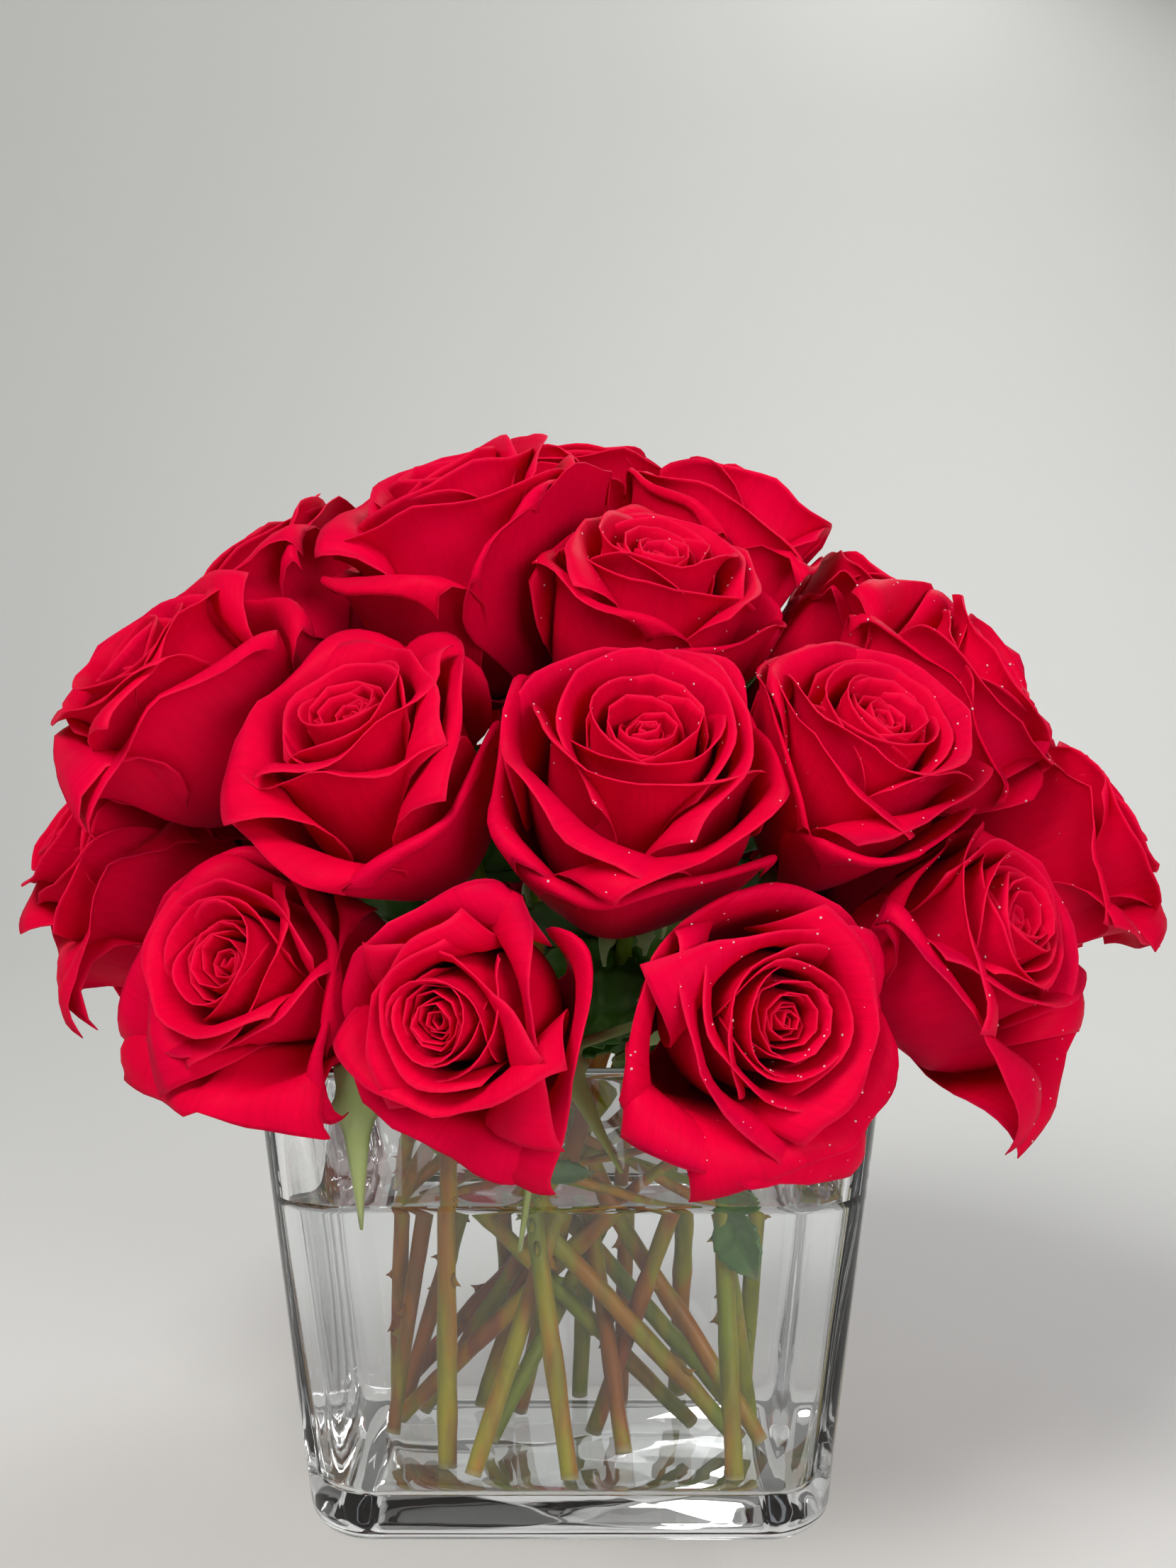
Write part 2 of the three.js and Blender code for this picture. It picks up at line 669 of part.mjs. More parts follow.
function leafSolid(leaf, grow) {
  const [foot, bend] = RINGS[leaf.rose - 1].points;
  const joint = foot.clone().lerp(bend, (leaf.height - foot.z) / (bend.z - foot.z));
  const geometry = leafGeometry(leaf, grow);
  geometry.rotateX(radians(LEAF_TWIST));
  geometry.rotateY(radians(-leaf.tilt));
  geometry.rotateZ(radians(leaf.heading));
  geometry.translate(joint.x, joint.y, joint.z);
  return toSolid(geometry);
}

// The directions in which the flat faces of a hip look
function hipFaces({ points }) {
  const last = points.length - 1;
  const { normals, binormals } = new Polyline(points).computeFrenetFrames(last, false);
  return Array.from({ length: STEM_SIDES }, (_, i) => {
    const angle = (2 * Math.PI * (i + 0.5)) / STEM_SIDES;
    return normals[last].clone().multiplyScalar(Math.cos(angle))
      .addScaledVector(binormals[last], Math.sin(angle));
  });
}

function stemSolid(rose, number) {
  const rings = RINGS[number];
  const walls = wallsAround(number);
  const draw = makeDraw(900 + number);
  const solids = [tubeSolid(rings.points, rings.radii)];
  for (const out of hipFaces(rings)) solids.push(sepalSolid(FRAMES[number], out, walls, draw));
  for (const leaf of LEAVES) {
    if (leaf.rose === number + 1) solids.push(leafSolid(leaf, 0));
  }
  return fuse(solids);
}

// Water with a plain hole round each stem and leaf that stands in it
function waterSolid() {
  let water = waterBlock();
  for (const rings of RINGS) water = water.subtract(stemHole(rings));
  for (const leaf of LEAVES) water = water.subtract(leafSolid(leaf, GAP + 0.1));
  return largestBody(water).simplify(FLAT_TOLERANCE);
}

// Materials
const glass = new THREE.MeshStandardMaterial(
  { color: 0xdfe9ea, roughness: 0.03, metalness: 0, transparent: true, opacity: 0.35 });
const waterLook = new THREE.MeshStandardMaterial(
  { color: 0xd8e4e2, roughness: 0.02, metalness: 0, transparent: true, opacity: 0.3 });
const petalLook = (number) => new THREE.MeshStandardMaterial({
  color: new THREE.Color(0xb00822).offsetHSL(0, 0, 0.02 * Math.sin(number * 2.1)),
  roughness: 0.6,
  metalness: 0,
});
const stemLook = (number) => new THREE.MeshStandardMaterial({
  color: new THREE.Color(0x7a7a2a).lerp(new THREE.Color(0x8a5a3c), 0.5 + 0.5 * Math.sin(number * 1.7)),
  roughness: 0.55,
  metalness: 0,
});

function addMesh(group, name, solid, material) {
  const mesh = new THREE.Mesh(toGeometry(solid), material);
  mesh.name = name;
  group.add(mesh);
}

const bouquet = new THREE.Group();
const label = (number) => String(number + 1).padStart(2, '0');
addMesh(bouquet, 'vase', vaseSolid(), glass);
addMesh(bouquet, 'water', waterSolid(), waterLook);
ROSES.forEach((rose, number) => {
  addMesh(bouquet, `stem_${label(number)}`, stemSolid(rose, number), stemLook(number));
  addMesh(bouquet, `bloom_${label(number)}`, bloomSolid(rose, number), petalLook(number));
});

export default bouquet;
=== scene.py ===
# Crimson roses in a clear square vase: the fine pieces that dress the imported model.
# Lengths are millimetres until a mesh is made, which is in metres.
import math

import bpy
import numpy as np
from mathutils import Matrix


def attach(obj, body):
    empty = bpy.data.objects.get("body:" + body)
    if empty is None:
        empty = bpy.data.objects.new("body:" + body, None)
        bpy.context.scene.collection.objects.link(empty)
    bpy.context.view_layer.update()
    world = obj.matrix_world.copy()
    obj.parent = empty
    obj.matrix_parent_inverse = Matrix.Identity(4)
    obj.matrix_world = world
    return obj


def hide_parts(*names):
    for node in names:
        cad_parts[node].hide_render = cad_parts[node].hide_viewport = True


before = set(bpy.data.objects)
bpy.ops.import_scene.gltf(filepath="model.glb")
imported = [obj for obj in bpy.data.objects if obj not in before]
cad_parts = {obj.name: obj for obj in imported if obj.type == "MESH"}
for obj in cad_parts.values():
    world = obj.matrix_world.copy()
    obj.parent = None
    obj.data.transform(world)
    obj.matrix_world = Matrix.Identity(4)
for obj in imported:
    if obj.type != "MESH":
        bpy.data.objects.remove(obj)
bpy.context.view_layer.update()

MM = 0.001

# Seeds of the draws: each rose's number is added to them
DRAW_PRIME = 2147483647
PETAL_SEED = 1
SPIN_SEED = 500
SEPAL_SEED = 900
STEM_SEED = 1300
DEW_SEED = 2000
DEW_SEEDS_OF_BLOOM = 50

# Vase and water
VASE_HEIGHT = 110
FOOT_HALF = 57.5
MOUTH_HALF = 68
WALL = 6.5
FLOOR = 10.5
CORNER_OUTSIDE = 14
CORNER_INSIDE = 9
FOOT_ROUNDING = 7
FLOOR_ROUNDING = 5
RIM_ROUNDING = 1.6
CORNER_POINTS = 14
FOOT_RECESS = [(14, 1.1), (12.6, 1.0), (11.4, 0.6), (10.4, 0.15), (9.6, 0)]
SIDE_POINTS = 44
ROUNDING_STEPS = 7
WALL_STEPS = 34
WALL_WAVE = 0.7
OUTER_WAVE = 0.3
WAVE_ON_FLATS = 0.06
NEAR_CORNER = (0.62, 0.95)
OUTER_PHASE = 50
OUTER_FADE = 12
INNER_FADE = 14
RIM_STEPS = 5
WATER_LEVEL = 78
WATER_INTO_GLASS = 0.12
MENISCUS = 1.3
MENISCUS_FALL = 1.6
MENISCUS_REACH = 6
MENISCUS_STEPS = 8
GAP = 0.3

# Stems
BEND_LEVEL = 86
BEND_SOFTNESS = 0.4
BEND_SHARES = [0.34, 0.6, 0.82, 1]
NECK_PULL = 30
NECK_LENGTH = 3
MOUTH_SHARE = 0.74
MOUTH_CLEARANCE = 1.2
HIP_LENGTH = 9
HIP_WAIST = 4.5
HIP_KNOTS = [12, HIP_LENGTH, 7, HIP_WAIST, 1.8, GAP]
HIP_RADII = [1.9, 2.5, 3.8, 4.7, 4.6, 4.2]
STEM_TAPER = 0.3
STEM_SIDES = 14
STEM_STEP = 2.6
STRAIGHT_SAMPLES = 24
BEND_SAMPLES = 12
ROUTE_CLEARANCE = 1
ROUTE_PUSH = 0.12
ROUTE_ROUNDS = 160
FACES_OF_HIP = 5
SWELLINGS = [(0.035, 9), (0.02, 3.7)]
KNOTS_OF_STEM = 3
KNOT_LOWEST = 12
KNOT_BELOW_TOP = 30
KNOT_DEPTH = 0.16
KNOT_WIDTH = 2.6
FLATTENED = 0.04
MOST_SWOLLEN = 1.12
THORNS = 4
THORN_SIDES = 8
THORN_SUNK = 0.85
THORN_LENGTH = 2.6
THORN_HOOK = 1.3
THORN_TALL = 2.25
THORN_WIDE = 0.9
THORN_MIDDLE = (0.27, 0.24, 0.49)
THORN_LOWEST = 8
THORN_BELOW_TOP = 12

# Sepals
SEPAL_DEPTH = 2.6
SEPAL_SEAT = 2.4
SEPAL_WIDTH = 6.4
SEPAL_REACH = 7
SEPAL_DIP = 1.5
SEPAL_DROP = 15
DROP_DRAW = (0.7, 1)
SEPAL_SAG = 4
SEPAL_THICKNESS = 0.45
UPRIGHT = 0.5
UPRIGHT_DROP = 0.6
SEPAL_STEPS = 16
SEPAL_SWAY = 2.6
BLADE_TWIST = 0.9
BLADE_TIP = 0.12
BLADE_COLUMNS = 7
BLADE_CUP = 0.9
LOBE_SHARE = 0.17
LOBE_SPREAD = 0.05
LOBE_PLACE = (0.45, 0.65)

# Petals: wound round the bloom's axis from the heart outwards
BLOOM_LENGTH = 44
CUP_DEPTH = 0.4
PETALS = 22
FLAPS = 4
FLAP_OPENING = 11
PETAL_TURN = 106
PETAL_THICKNESS = 0.55
RIM_THICKNESS = 0.5
RIM_ZONE = 4
STEPS_ALONG = 48
STEPS_ACROSS = 16
OPENING = 34
ROOT_LOWEST = 0.5
ROOT_HIGHEST = 12
KNOTS = [0, 0.2, 0.45, 0.7, 0.88, 1]
ORDERS = [0, 0.25, 0.5, 0.75, 1]
LEAN = [
    [8, 5, 1, -3, -6, -6],
    [40, 18, -3, -6, -5, -2],
    [58, 27, -2, -6, -3, 6],
    [80, 41, 1, -5, 3, 24],
    [88, 63, 14, 5, 18, 50],
]
LENGTH = [29, 35, 42, 47, 50]
WIDTH = [9, 17, 25, 30, 32]
ROOT_RADIUS = [1.3, 1.8, 2.3, 2.8, 3.2]
LIP_ROLL = [2, 6, 16, 52, 112]
LIP_SHARE = [0.1, 0.11, 0.12, 0.15, 0.2]
SIDE_ROLL = [2, 6, 20, 60, 100]
FLATNESS = [0, 0, 0.05, 0.18, 0.3]
POINT = [0, 0.01, 0.03, 0.06, 0.08]
SIDE_MARGIN = 0.26
MARGIN_POWER = 1.5
TRIM_POWER = 3
SHOULDER = 0.26
SHOULDER_POWER = 2.4
POINT_HEIGHT = 0.6
POINT_SPREAD = 0.16
MIDDLE_LIP = 0.6
LIP_GROWS = (0.05, 0.55)
LIP_POWER = 1.4
OPENS_ALONG = (0.1, 0.45)
ROOT_WIDTH = 0.2
WIDEST = 0.62
TIP_NARROWED = 0.1
TIP_ZONE = (0.75, 1.05)
ROLL_ZONE = (0.35, 0.85)
LEAST_BEND = 0.12
TUCK = 0.9
TUCK_ZONE = (0.1, 0.6)

# Waves of a petal: where they start along it, radians across it, height
BROAD_WAVE = (0.45, 6.2, 0.9)
TIP_WAVE = (0.75, 7.5, 0.35)
CRINKLE = (0.84, 19, 0.24)
SIDE_WAVES = 6.5
SIDE_WAVE_HEIGHT = 0.9
WAVE_AT_HEART = 0.35
WAVE_GROWTH = 0.9

# Bounds of each petal's draws
HEADING_DRAW = (-12, 12)
LENGTH_DRAW = (0.95, 1.05)
WIDTH_DRAW = (0.93, 1.07)
OPENING_DRAW = (-4, 5)
LIP_DRAW = (0.5, 1.3)
SIDE_DRAW = (0.4, 1.4)
POINT_DRAW = (0.5, 1.3)
WAVE_DRAW = (0.3, 1.0)

# Crowding
SOFT_ZONE = 9
HALF_GAP = 0.62
NEIGHBOUR_REACH = 105
WALL_PASSES = 3
RIM_CLEARANCE = 1.2
RIM_SLOPE = 1.6


# Roses

def planted(at, tilt, size, openness, foot, stem, **more):
    """
    A rose's face centre, tilt of its axis from upright in degrees, size and openness; the foot
    of its stem on the vase's floor and the stem's radius. More may be turned, the turn of the
    axis off the outward direction; spin, that of the petals about it, both in degrees; bend,
    the place where the stem's bend starts; and trim, a share taken off the outer petals.
    """
    return dict(at=at, tilt=tilt, size=size, open=openness, foot=foot, stem=stem, **more)


ROSES = [
    planted((-29, -8, 234), 20, 1.26, 0.55, (43, -12), 2.1),
    planted((20, -36, 219), 24, 1.0, 0.6, (-12, 22), 2),
    planted((6, 44, 237), 16, 1.08, 0.5, (14, -14), 2),
    planted((45, 14, 228), 28, 1.14, 0.65, (-34, 26), 2),
    planted((-46, -69, 187), 38, 1.08, 0.5, (-28, -27), 2.1, spin=43, bend=(-28, -24)),
    planted((16, -82, 186), 39, 1.2, 0.65, (-22, -36), 2.1, turned=-6, spin=323, bend=(2, -22)),
    planted((66, -64, 186), 40, 1.04, 0.6, (2, 6), 2, turned=-12, spin=303),
    planted((73, 14, 207), 38, 1.12, 0.55, (-42, 36), 2),
    planted((96, -26, 192), 52, 0.96, 0.5, (-40, 8), 2.1),
    planted((-79, 18, 214), 42, 1.06, 0.5, (40, 18), 2.1),
    planted((-98, -30, 195), 44, 1.08, 0.55, (30, 6), 2),
    planted((64, 66, 184), 48, 1.02, 0.55, (-20, -6), 2),
    planted((3, 84, 190), 44, 1.04, 0.5, (2, 38), 2),
    planted((-58, 66, 187), 48, 1.04, 0.6, (-14, 38), 2),
    planted((-73, -70, 135), 66, 1.04, 0.5, (44, -2), 2.1, turned=10, spin=60),
    planted(
        (-26, -103, 129), 84, 0.92, 0.35, (0, -38), 2.1,
        turned=-8, spin=30, bend=(-10, -31), trim=0.1),
    planted((44, -102, 129), 82, 0.97, 0.6, (37, -38), 2, spin=318, bend=(34, -27)),
    planted((96, -68, 144), 62, 1.06, 0.5, (43, 14), 2.1, spin=10, trim=0.1),
    planted((128, -4, 156), 62, 1.06, 0.5, (42, 28), 2, turned=-4),
    planted((101, 60, 139), 74, 1.06, 0.5, (26, 40), 2),
    planted((53, 104, 136), 77, 1.06, 0.6, (12, 30), 2.1),
    planted((-13, 114, 136), 78, 1.06, 0.5, (-26, 26), 2),
    planted((-70, 90, 138), 76, 1.06, 0.55, (-42, 20), 2.1),
    planted((-110, 42, 143), 74, 1.04, 0.5, (-43, 2), 2, trim=0.1),
    planted((-116, -16, 155), 60, 1.06, 0.5, (-43, 26), 2, turned=6, trim=0.12),
]

# Leaves on stems: rose number, height of the joint, heading and tilt in degrees, length. The
# first two are in the vase, the others just under the blooms.
LEAVES = [
    (17, 74, -55, -52, 19), (16, 76, 12, 4, 15),
    (17, 106, 200, 18, 24), (16, 116, 32, 40, 26), (17, 115, 148, 42, 26), (16, 110, -14, 8, 21),
    (6, 128, -70, -38, 22), (5, 130, -60, -25, 20), (7, 128, -110, -30, 20),
]

# Each rose whose stem ends above INNER_HEIGHT has leaves in the gaps below its bloom
INNER_HEIGHT = 122
INNER_LEAVES = 3
INNER_BELOW = [5, 22]
INNER_LENGTH = [24, 32]
INNER_TILT = [-5, 30]

# Long sepals that hang over the vase's rim: rose number, the place where they pass over the
# rim, the tip, the width
HANGING = [
    (16, (-43, -72.5, 113), (-43, -76, 79), 12),
    (16, (-6, -72, 111), (-10, -75, 74), 5),
    (17, (-1, -71.5, 116), (11, -76, 91), 9),
]
HANGING_STEPS = 28
HANGING_BULGE = 2

# Shape of a leaf
LEAF_TEETH = 7
LEAF_SHARE = 0.3
LEAF_TWIST = 60
LEAF_THICKNESS = 0.5
LEAF_COLUMNS = 11
STEPS_TO_TOOTH = 6
TOOTH_DEPTH = 0.14
LEAF_TIP = 0.35
LEAF_SWEEP = 0.25
LEAF_FOLD = 0.22
LEAF_ARCH = 1.6
LEAF_BUCKLE = 0.18
LEAF_BUCKLES = 26


# Small maths

def unit(v):
    return v / np.linalg.norm(v)


def smooth(low, high, x):
    s = np.clip((x - low) / (high - low), 0, 1)
    return s * s * (3 - 2 * s)


class Draw:
    """Seeded draws between two bounds"""

    def __init__(self, seed):
        self.state = (seed * 7919 + 12345) % DRAW_PRIME
        for _ in range(3):
            self(0, 1)

    def __call__(self, low, high):
        self.state = (self.state * 16807) % DRAW_PRIME
        return low + (high - low) * (self.state / DRAW_PRIME)


# Where each rose stands

def bloom_frame(rose, number):
    face = np.array(rose["at"], float)
    heading = math.atan2(face[0], -face[1]) + math.radians(rose.get("turned", 0))
    tilt = math.radians(rose["tilt"])
    axis = np.array([
        math.sin(tilt) * math.sin(heading),
        -math.sin(tilt) * math.cos(heading),
        math.cos(tilt)])
    length = BLOOM_LENGTH * rose["size"]
    side = unit(np.cross([0, 0, 1], axis))
    if "spin" in rose:
        turn = math.radians(rose["spin"])
    else:
        turn = Draw(SPIN_SEED + number)(0, math.tau)
    return dict(
        base=face - axis * length, middle=face - axis * CUP_DEPTH * length, axis=axis,
        side=side, front=np.cross(axis, side), turn=turn)


FRAMES = [bloom_frame(rose, number) for number, rose in enumerate(ROSES)]


def place_in_bloom(at, points):
    c, s = math.cos(at["turn"]), math.sin(at["turn"])
    x, y, z = points[..., 0:1], points[..., 1:2], points[..., 2:3]
    level = at["side"] * (x * c - y * s) + at["front"] * (x * s + y * c)
    return at["base"] + level + at["axis"] * z


# Crowding: a soft wall that a distance only nears and never passes

def soft_wall(distance, least):
    span = SOFT_ZONE - least
    return np.where(
        distance >= SOFT_ZONE, distance,
        least + span * np.exp(np.minimum(distance - SOFT_ZONE, 0) / span))


def walls_around(number):
    own = FRAMES[number]["middle"]
    walls = []
    for index, other in enumerate(FRAMES):
        apart = own - other["middle"]
        if index == number or np.linalg.norm(apart) > NEIGHBOUR_REACH:
            continue
        share = ROSES[index]["size"] / (ROSES[index]["size"] + ROSES[number]["size"])
        normal = unit(apart)
        walls.append((normal, normal @ (other["middle"] + apart * share)))
    return walls


def keep_in_cell(points, walls):
    for again in range(WALL_PASSES):
        for normal, offset in walls:
            distance = points @ normal - offset
            kept = np.maximum(distance, HALF_GAP) if again else soft_wall(distance, HALF_GAP)
            points = points + (kept - distance)[..., None] * normal
    return points


def keep_off_vase(points):
    outside = np.abs(points[..., :2]).max(axis=-1) - MOUTH_HALF - RIM_CLEARANCE
    lowest = VASE_HEIGHT + RIM_CLEARANCE - np.maximum(outside, 0) * RIM_SLOPE - HALF_GAP
    kept = points.copy()
    kept[..., 2] = lowest + soft_wall(points[..., 2] - lowest, HALF_GAP)
    return kept


# Petals

def petal_facts(rose, order, draw):
    """What one petal is like, from the heart (order 0) to the outermost"""
    t = order / (PETALS - 1)
    flap = max(0, order - PETALS + 1 + FLAPS) / FLAPS

    def pick(table):
        return float(np.interp(t, ORDERS, table))

    return dict(
        t=t,
        heading=math.radians(PETAL_TURN * (order - PETALS + 0.5) + draw(*HEADING_DRAW)),
        full=pick(LENGTH),
        length=pick(LENGTH) * draw(*LENGTH_DRAW) * (1 - rose.get("trim", 0) * t ** TRIM_POWER),
        width=pick(WIDTH) * draw(*WIDTH_DRAW),
        root=pick(ROOT_RADIUS),
        low=ROOT_HIGHEST + (ROOT_LOWEST - ROOT_HIGHEST) * t,
        lean=[pick([row[knot] for row in LEAN]) for knot in range(len(KNOTS))],
        opened=(OPENING * (rose["open"] - 0.5) + draw(*OPENING_DRAW)) * t
        + draw(0, FLAP_OPENING) * flap,
        lip=pick(LIP_ROLL) * draw(*LIP_DRAW),
        lip_share=pick(LIP_SHARE),
        sides=[pick(SIDE_ROLL) * draw(*SIDE_DRAW) for _ in range(2)],
        flat=pick(FLATNESS),
        point=pick(POINT) * draw(*POINT_DRAW),
        wave=draw(*WAVE_DRAW) * (WAVE_AT_HEART + WAVE_GROWTH * t),
        phases=[draw(0, math.tau) for _ in range(3)],
        tuck=TUCK * (1 - 0.5 * t),
        tone=draw(0, 1))


def petal_ribs(petal, us, rows):
    """Radius, height, lean and share of the length along each rib"""
    across = np.abs(us)
    pointed = petal["point"] * POINT_HEIGHT * np.exp(-(us / POINT_SPREAD) ** 2)
    lengths = petal["length"] * (1 - SHOULDER * across ** SHOULDER_POWER + pointed)
    run = lengths[:, None] * (np.arange(STEPS_ALONG) + 0.5) / STEPS_ALONG
    share = run / petal["full"]
    lip = petal["lip"] * (MIDDLE_LIP + (1 - MIDDLE_LIP) * smooth(*LIP_GROWS, across))[:, None]
    from_tip = (lengths[:, None] - run) / (petal["lip_share"] * petal["full"])
    rolled = np.clip(1 - from_tip, 0, 1) ** LIP_POWER
    lean = np.radians(
        np.interp(share, KNOTS, petal["lean"]) + lip * rolled
        + petal["opened"] * smooth(*OPENS_ALONG, share))
    step = (lengths / STEPS_ALONG)[:, None]
    start = np.zeros((len(us), 1))
    radius = petal["root"] + np.hstack([start, np.cumsum(np.sin(lean) * step, axis=1)])
    height = petal["low"] + np.hstack([start, np.cumsum(np.cos(lean) * step, axis=1)])
    lean = np.hstack([lean[:, :1], lean])
    share = np.hstack([start, share])
    return [table[:, rows].T for table in (radius, height, lean, share)]


def rim_wave(up, us, phase, start, waves, height):
    """A wave across the petal that grows from its start along it up to the rim"""
    return smooth(start, 1, up) * np.sin(waves * us + phase) * height


def petal_surface(petal, us, rows):
    """The petal's middle surface, rows along it and columns across, in the bloom's frame"""
    radius, height, lean, share = petal_ribs(petal, us, rows)
    widened = ROOT_WIDTH + (1 - ROOT_WIDTH) * smooth(0, WIDEST, share)
    half = petal["width"] * widened * (1 - TIP_NARROWED * smooth(*TIP_ZONE, share))
    roll = np.radians(np.where(us < 0, petal["sides"][0], petal["sides"][1]))
    roll = roll[None, :] * smooth(*ROLL_ZONE, share)
    bend = np.maximum(np.cos(lean), LEAST_BEND) / np.maximum(radius, 1) * (1 - petal["flat"])
    x = (np.arange(STEPS_ACROSS) + 0.5) / STEPS_ACROSS * np.abs(us)[None, :, None]
    margin = np.clip((x - 1 + SIDE_MARGIN) / SIDE_MARGIN, 0, 1) ** MARGIN_POWER
    turned = bend[..., None] * x * half[..., None] - roll[..., None] * margin
    step = np.abs(us)[None, :] * half / STEPS_ACROSS
    along = np.cos(turned).sum(axis=2) * step * np.sign(us)
    inward = np.sin(turned).sum(axis=2) * step
    first, second, third = petal["phases"]
    up = np.array(rows)[:, None] / STEPS_ALONG
    wave = petal["wave"] * (
        rim_wave(up, us, first, *BROAD_WAVE)
        + np.abs(us) ** 3 * np.sin(SIDE_WAVES * up + second) * SIDE_WAVE_HEIGHT
        + rim_wave(up, us, third, *TIP_WAVE)
        + rim_wave(up, us, first + second, *CRINKLE) * petal["t"])
    out = wave - inward + petal["tuck"] * us * smooth(*TUCK_ZONE, share)
    r = radius + out * np.cos(lean)
    z = height - out * np.sin(lean)
    c, s = math.cos(petal["heading"]), math.sin(petal["heading"])
    points = np.stack([r * c - along * s, r * s + along * c, z], axis=2)
    edge = np.minimum((1 - np.abs(us)) * half, (1 - up) * petal["length"])
    return points, edge


# Meshes

def put_in_scene(name, data):
    placed = bpy.data.objects.new(name, data)
    bpy.context.scene.collection.objects.link(placed)
    return placed


class Pile:
    """Vertices, faces and numbers on each vertex, gathered for one mesh"""

    def __init__(self, names=()):
        self.points, self.faces, self.looks = [], [], []
        self.values = {name: [] for name in names}
        self.count = 0

    def add(self, points, faces, look=0, **values):
        points = np.asarray(points, float).reshape(-1, 3)
        self.points.append(points)
        self.faces += [tuple(int(i) + self.count for i in face) for face in faces]
        self.looks += [look] * len(faces)
        for name, kept in self.values.items():
            kept.append(np.broadcast_to(values.get(name, 0.0), len(points)).astype(float))
        self.count += len(points)

    def piece(self, name, materials, node, slot):
        mesh = bpy.data.meshes.new(name)
        mesh.from_pydata((np.vstack(self.points) * MM).tolist(), [], self.faces)
        for material in materials:
            mesh.materials.append(material)
        mesh.polygons.foreach_set("material_index", self.looks)
        mesh.shade_smooth()
        for label, kept in self.values.items():
            data = mesh.attributes.new(label, "FLOAT", "POINT").data
            data.foreach_set("value", np.concatenate(kept))
        mesh.update()
        piece = put_in_scene(name, mesh)
        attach(piece, "root")
        if node:
            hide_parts(node)


def grid_faces(rows, columns, start=0, flip=False):
    i, j = np.meshgrid(np.arange(rows - 1), np.arange(columns - 1), indexing="ij")
    a = (start + i * columns + j).ravel()
    quads = np.stack([a, a + 1, a + columns + 1, a + columns], axis=1)
    return quads[:, ::-1].tolist() if flip else quads.tolist()


def border(rows, columns):
    """The grid's border, once round"""
    grid = np.arange(rows * columns).reshape(rows, columns)
    return [*grid[0], *grid[1:, -1], *grid[-1, -2::-1], *grid[-2:0:-1, 0]]


def add_sheet(pile, points, thickness, look=0, **values):
    """A closed sheet about a grid of points, with a thickness at each"""
    rows, columns = points.shape[:2]
    normals = np.cross(np.gradient(points, axis=1), np.gradient(points, axis=0))
    normals /= np.maximum(np.linalg.norm(normals, axis=2, keepdims=True), 1e-9)
    away = normals * (np.broadcast_to(thickness, (rows, columns)) / 2)[..., None]
    both = np.concatenate([(points + away).reshape(-1, 3), (points - away).reshape(-1, 3)])
    count = rows * columns
    faces = grid_faces(rows, columns) + grid_faces(rows, columns, count, flip=True)
    ring = border(rows, columns)
    for a, b in zip(ring, ring[1:] + ring[:1]):
        faces.append((b, a, a + count, b + count))
    doubled = {
        name: np.tile(np.broadcast_to(value, (rows, columns)).ravel(), 2)
        for name, value in values.items()}
    pile.add(both, faces, look, **doubled)


# Blooms

OUTER_ROWS = [0, 5, 10, 15, 20, 25, 29, 33, 36, 39, 41, 43, 45, 46, 47, 48]
INNER_ROWS = [0, 8, 16, 24, 31, 37, 41, 44, 46, 48]
OUTER_COLUMNS = 23
INNER_COLUMNS = 11
COLUMN_POWER = 1.35
FIRST_OUTER = 10

# Dew: the roses that bear it, how many drops to a petal, the largest radius
DEWY = [2, 6, 7, 9, 17, 18, 19]
FIRST_DEWY = 8
DEW_ON_PETAL = 13
DEW_RADIUS = 0.36
DEW_FLATTENED = 0.35
LEAST_NORMAL = 1e-6
FACING = np.array([0.0, -0.6, 0.4])
GOLDEN = (1 + math.sqrt(5)) / 2
DEW_CORNERS = np.array([
    np.roll([x, y, 0], turn) for turn in range(3)
    for y in (GOLDEN, -GOLDEN) for x in (-1, 1)]) / math.hypot(1, GOLDEN)
DEW_FACES = [
    (0, 11, 5), (0, 5, 1), (0, 1, 7), (0, 7, 10), (0, 10, 11),
    (1, 5, 9), (5, 11, 4), (11, 10, 2), (10, 7, 6), (7, 1, 8),
    (3, 9, 4), (3, 4, 2), (3, 2, 6), (3, 6, 8), (3, 8, 9),
    (4, 9, 5), (2, 4, 11), (6, 2, 10), (8, 6, 7), (9, 8, 1)]


def columns_across(count):
    """Places across a petal, closer together near its margins"""
    even = np.linspace(-1, 1, count)
    return np.sign(even) * (1 - (1 - np.abs(even)) ** COLUMN_POWER)


def add_dew(pile, points, towards, draw):
    """Fine drops on the upper part of a petal, on the side that looks up and outwards"""
    rows, columns = points.shape[:2]
    for _ in range(DEW_ON_PETAL):
        i, j = int(draw(0.5, 0.999) * (rows - 1)), int(draw(0, 0.999) * (columns - 1))
        along, across = points[i + 1, j] - points[i, j], points[i, j + 1] - points[i, j]
        spot = points[i, j] + along * draw(0, 1) + across * draw(0, 1)
        normal = np.cross(along, across)
        if np.linalg.norm(normal) < LEAST_NORMAL:
            continue
        normal = unit(normal) * (1 if normal @ towards > 0 else -1)
        radius = DEW_RADIUS * draw(0.4, 1) ** 2
        ball = DEW_CORNERS - normal * (DEW_CORNERS @ normal)[:, None] * DEW_FLATTENED
        pile.add(spot + normal * PETAL_THICKNESS * 0.4 + ball * radius, DEW_FACES)


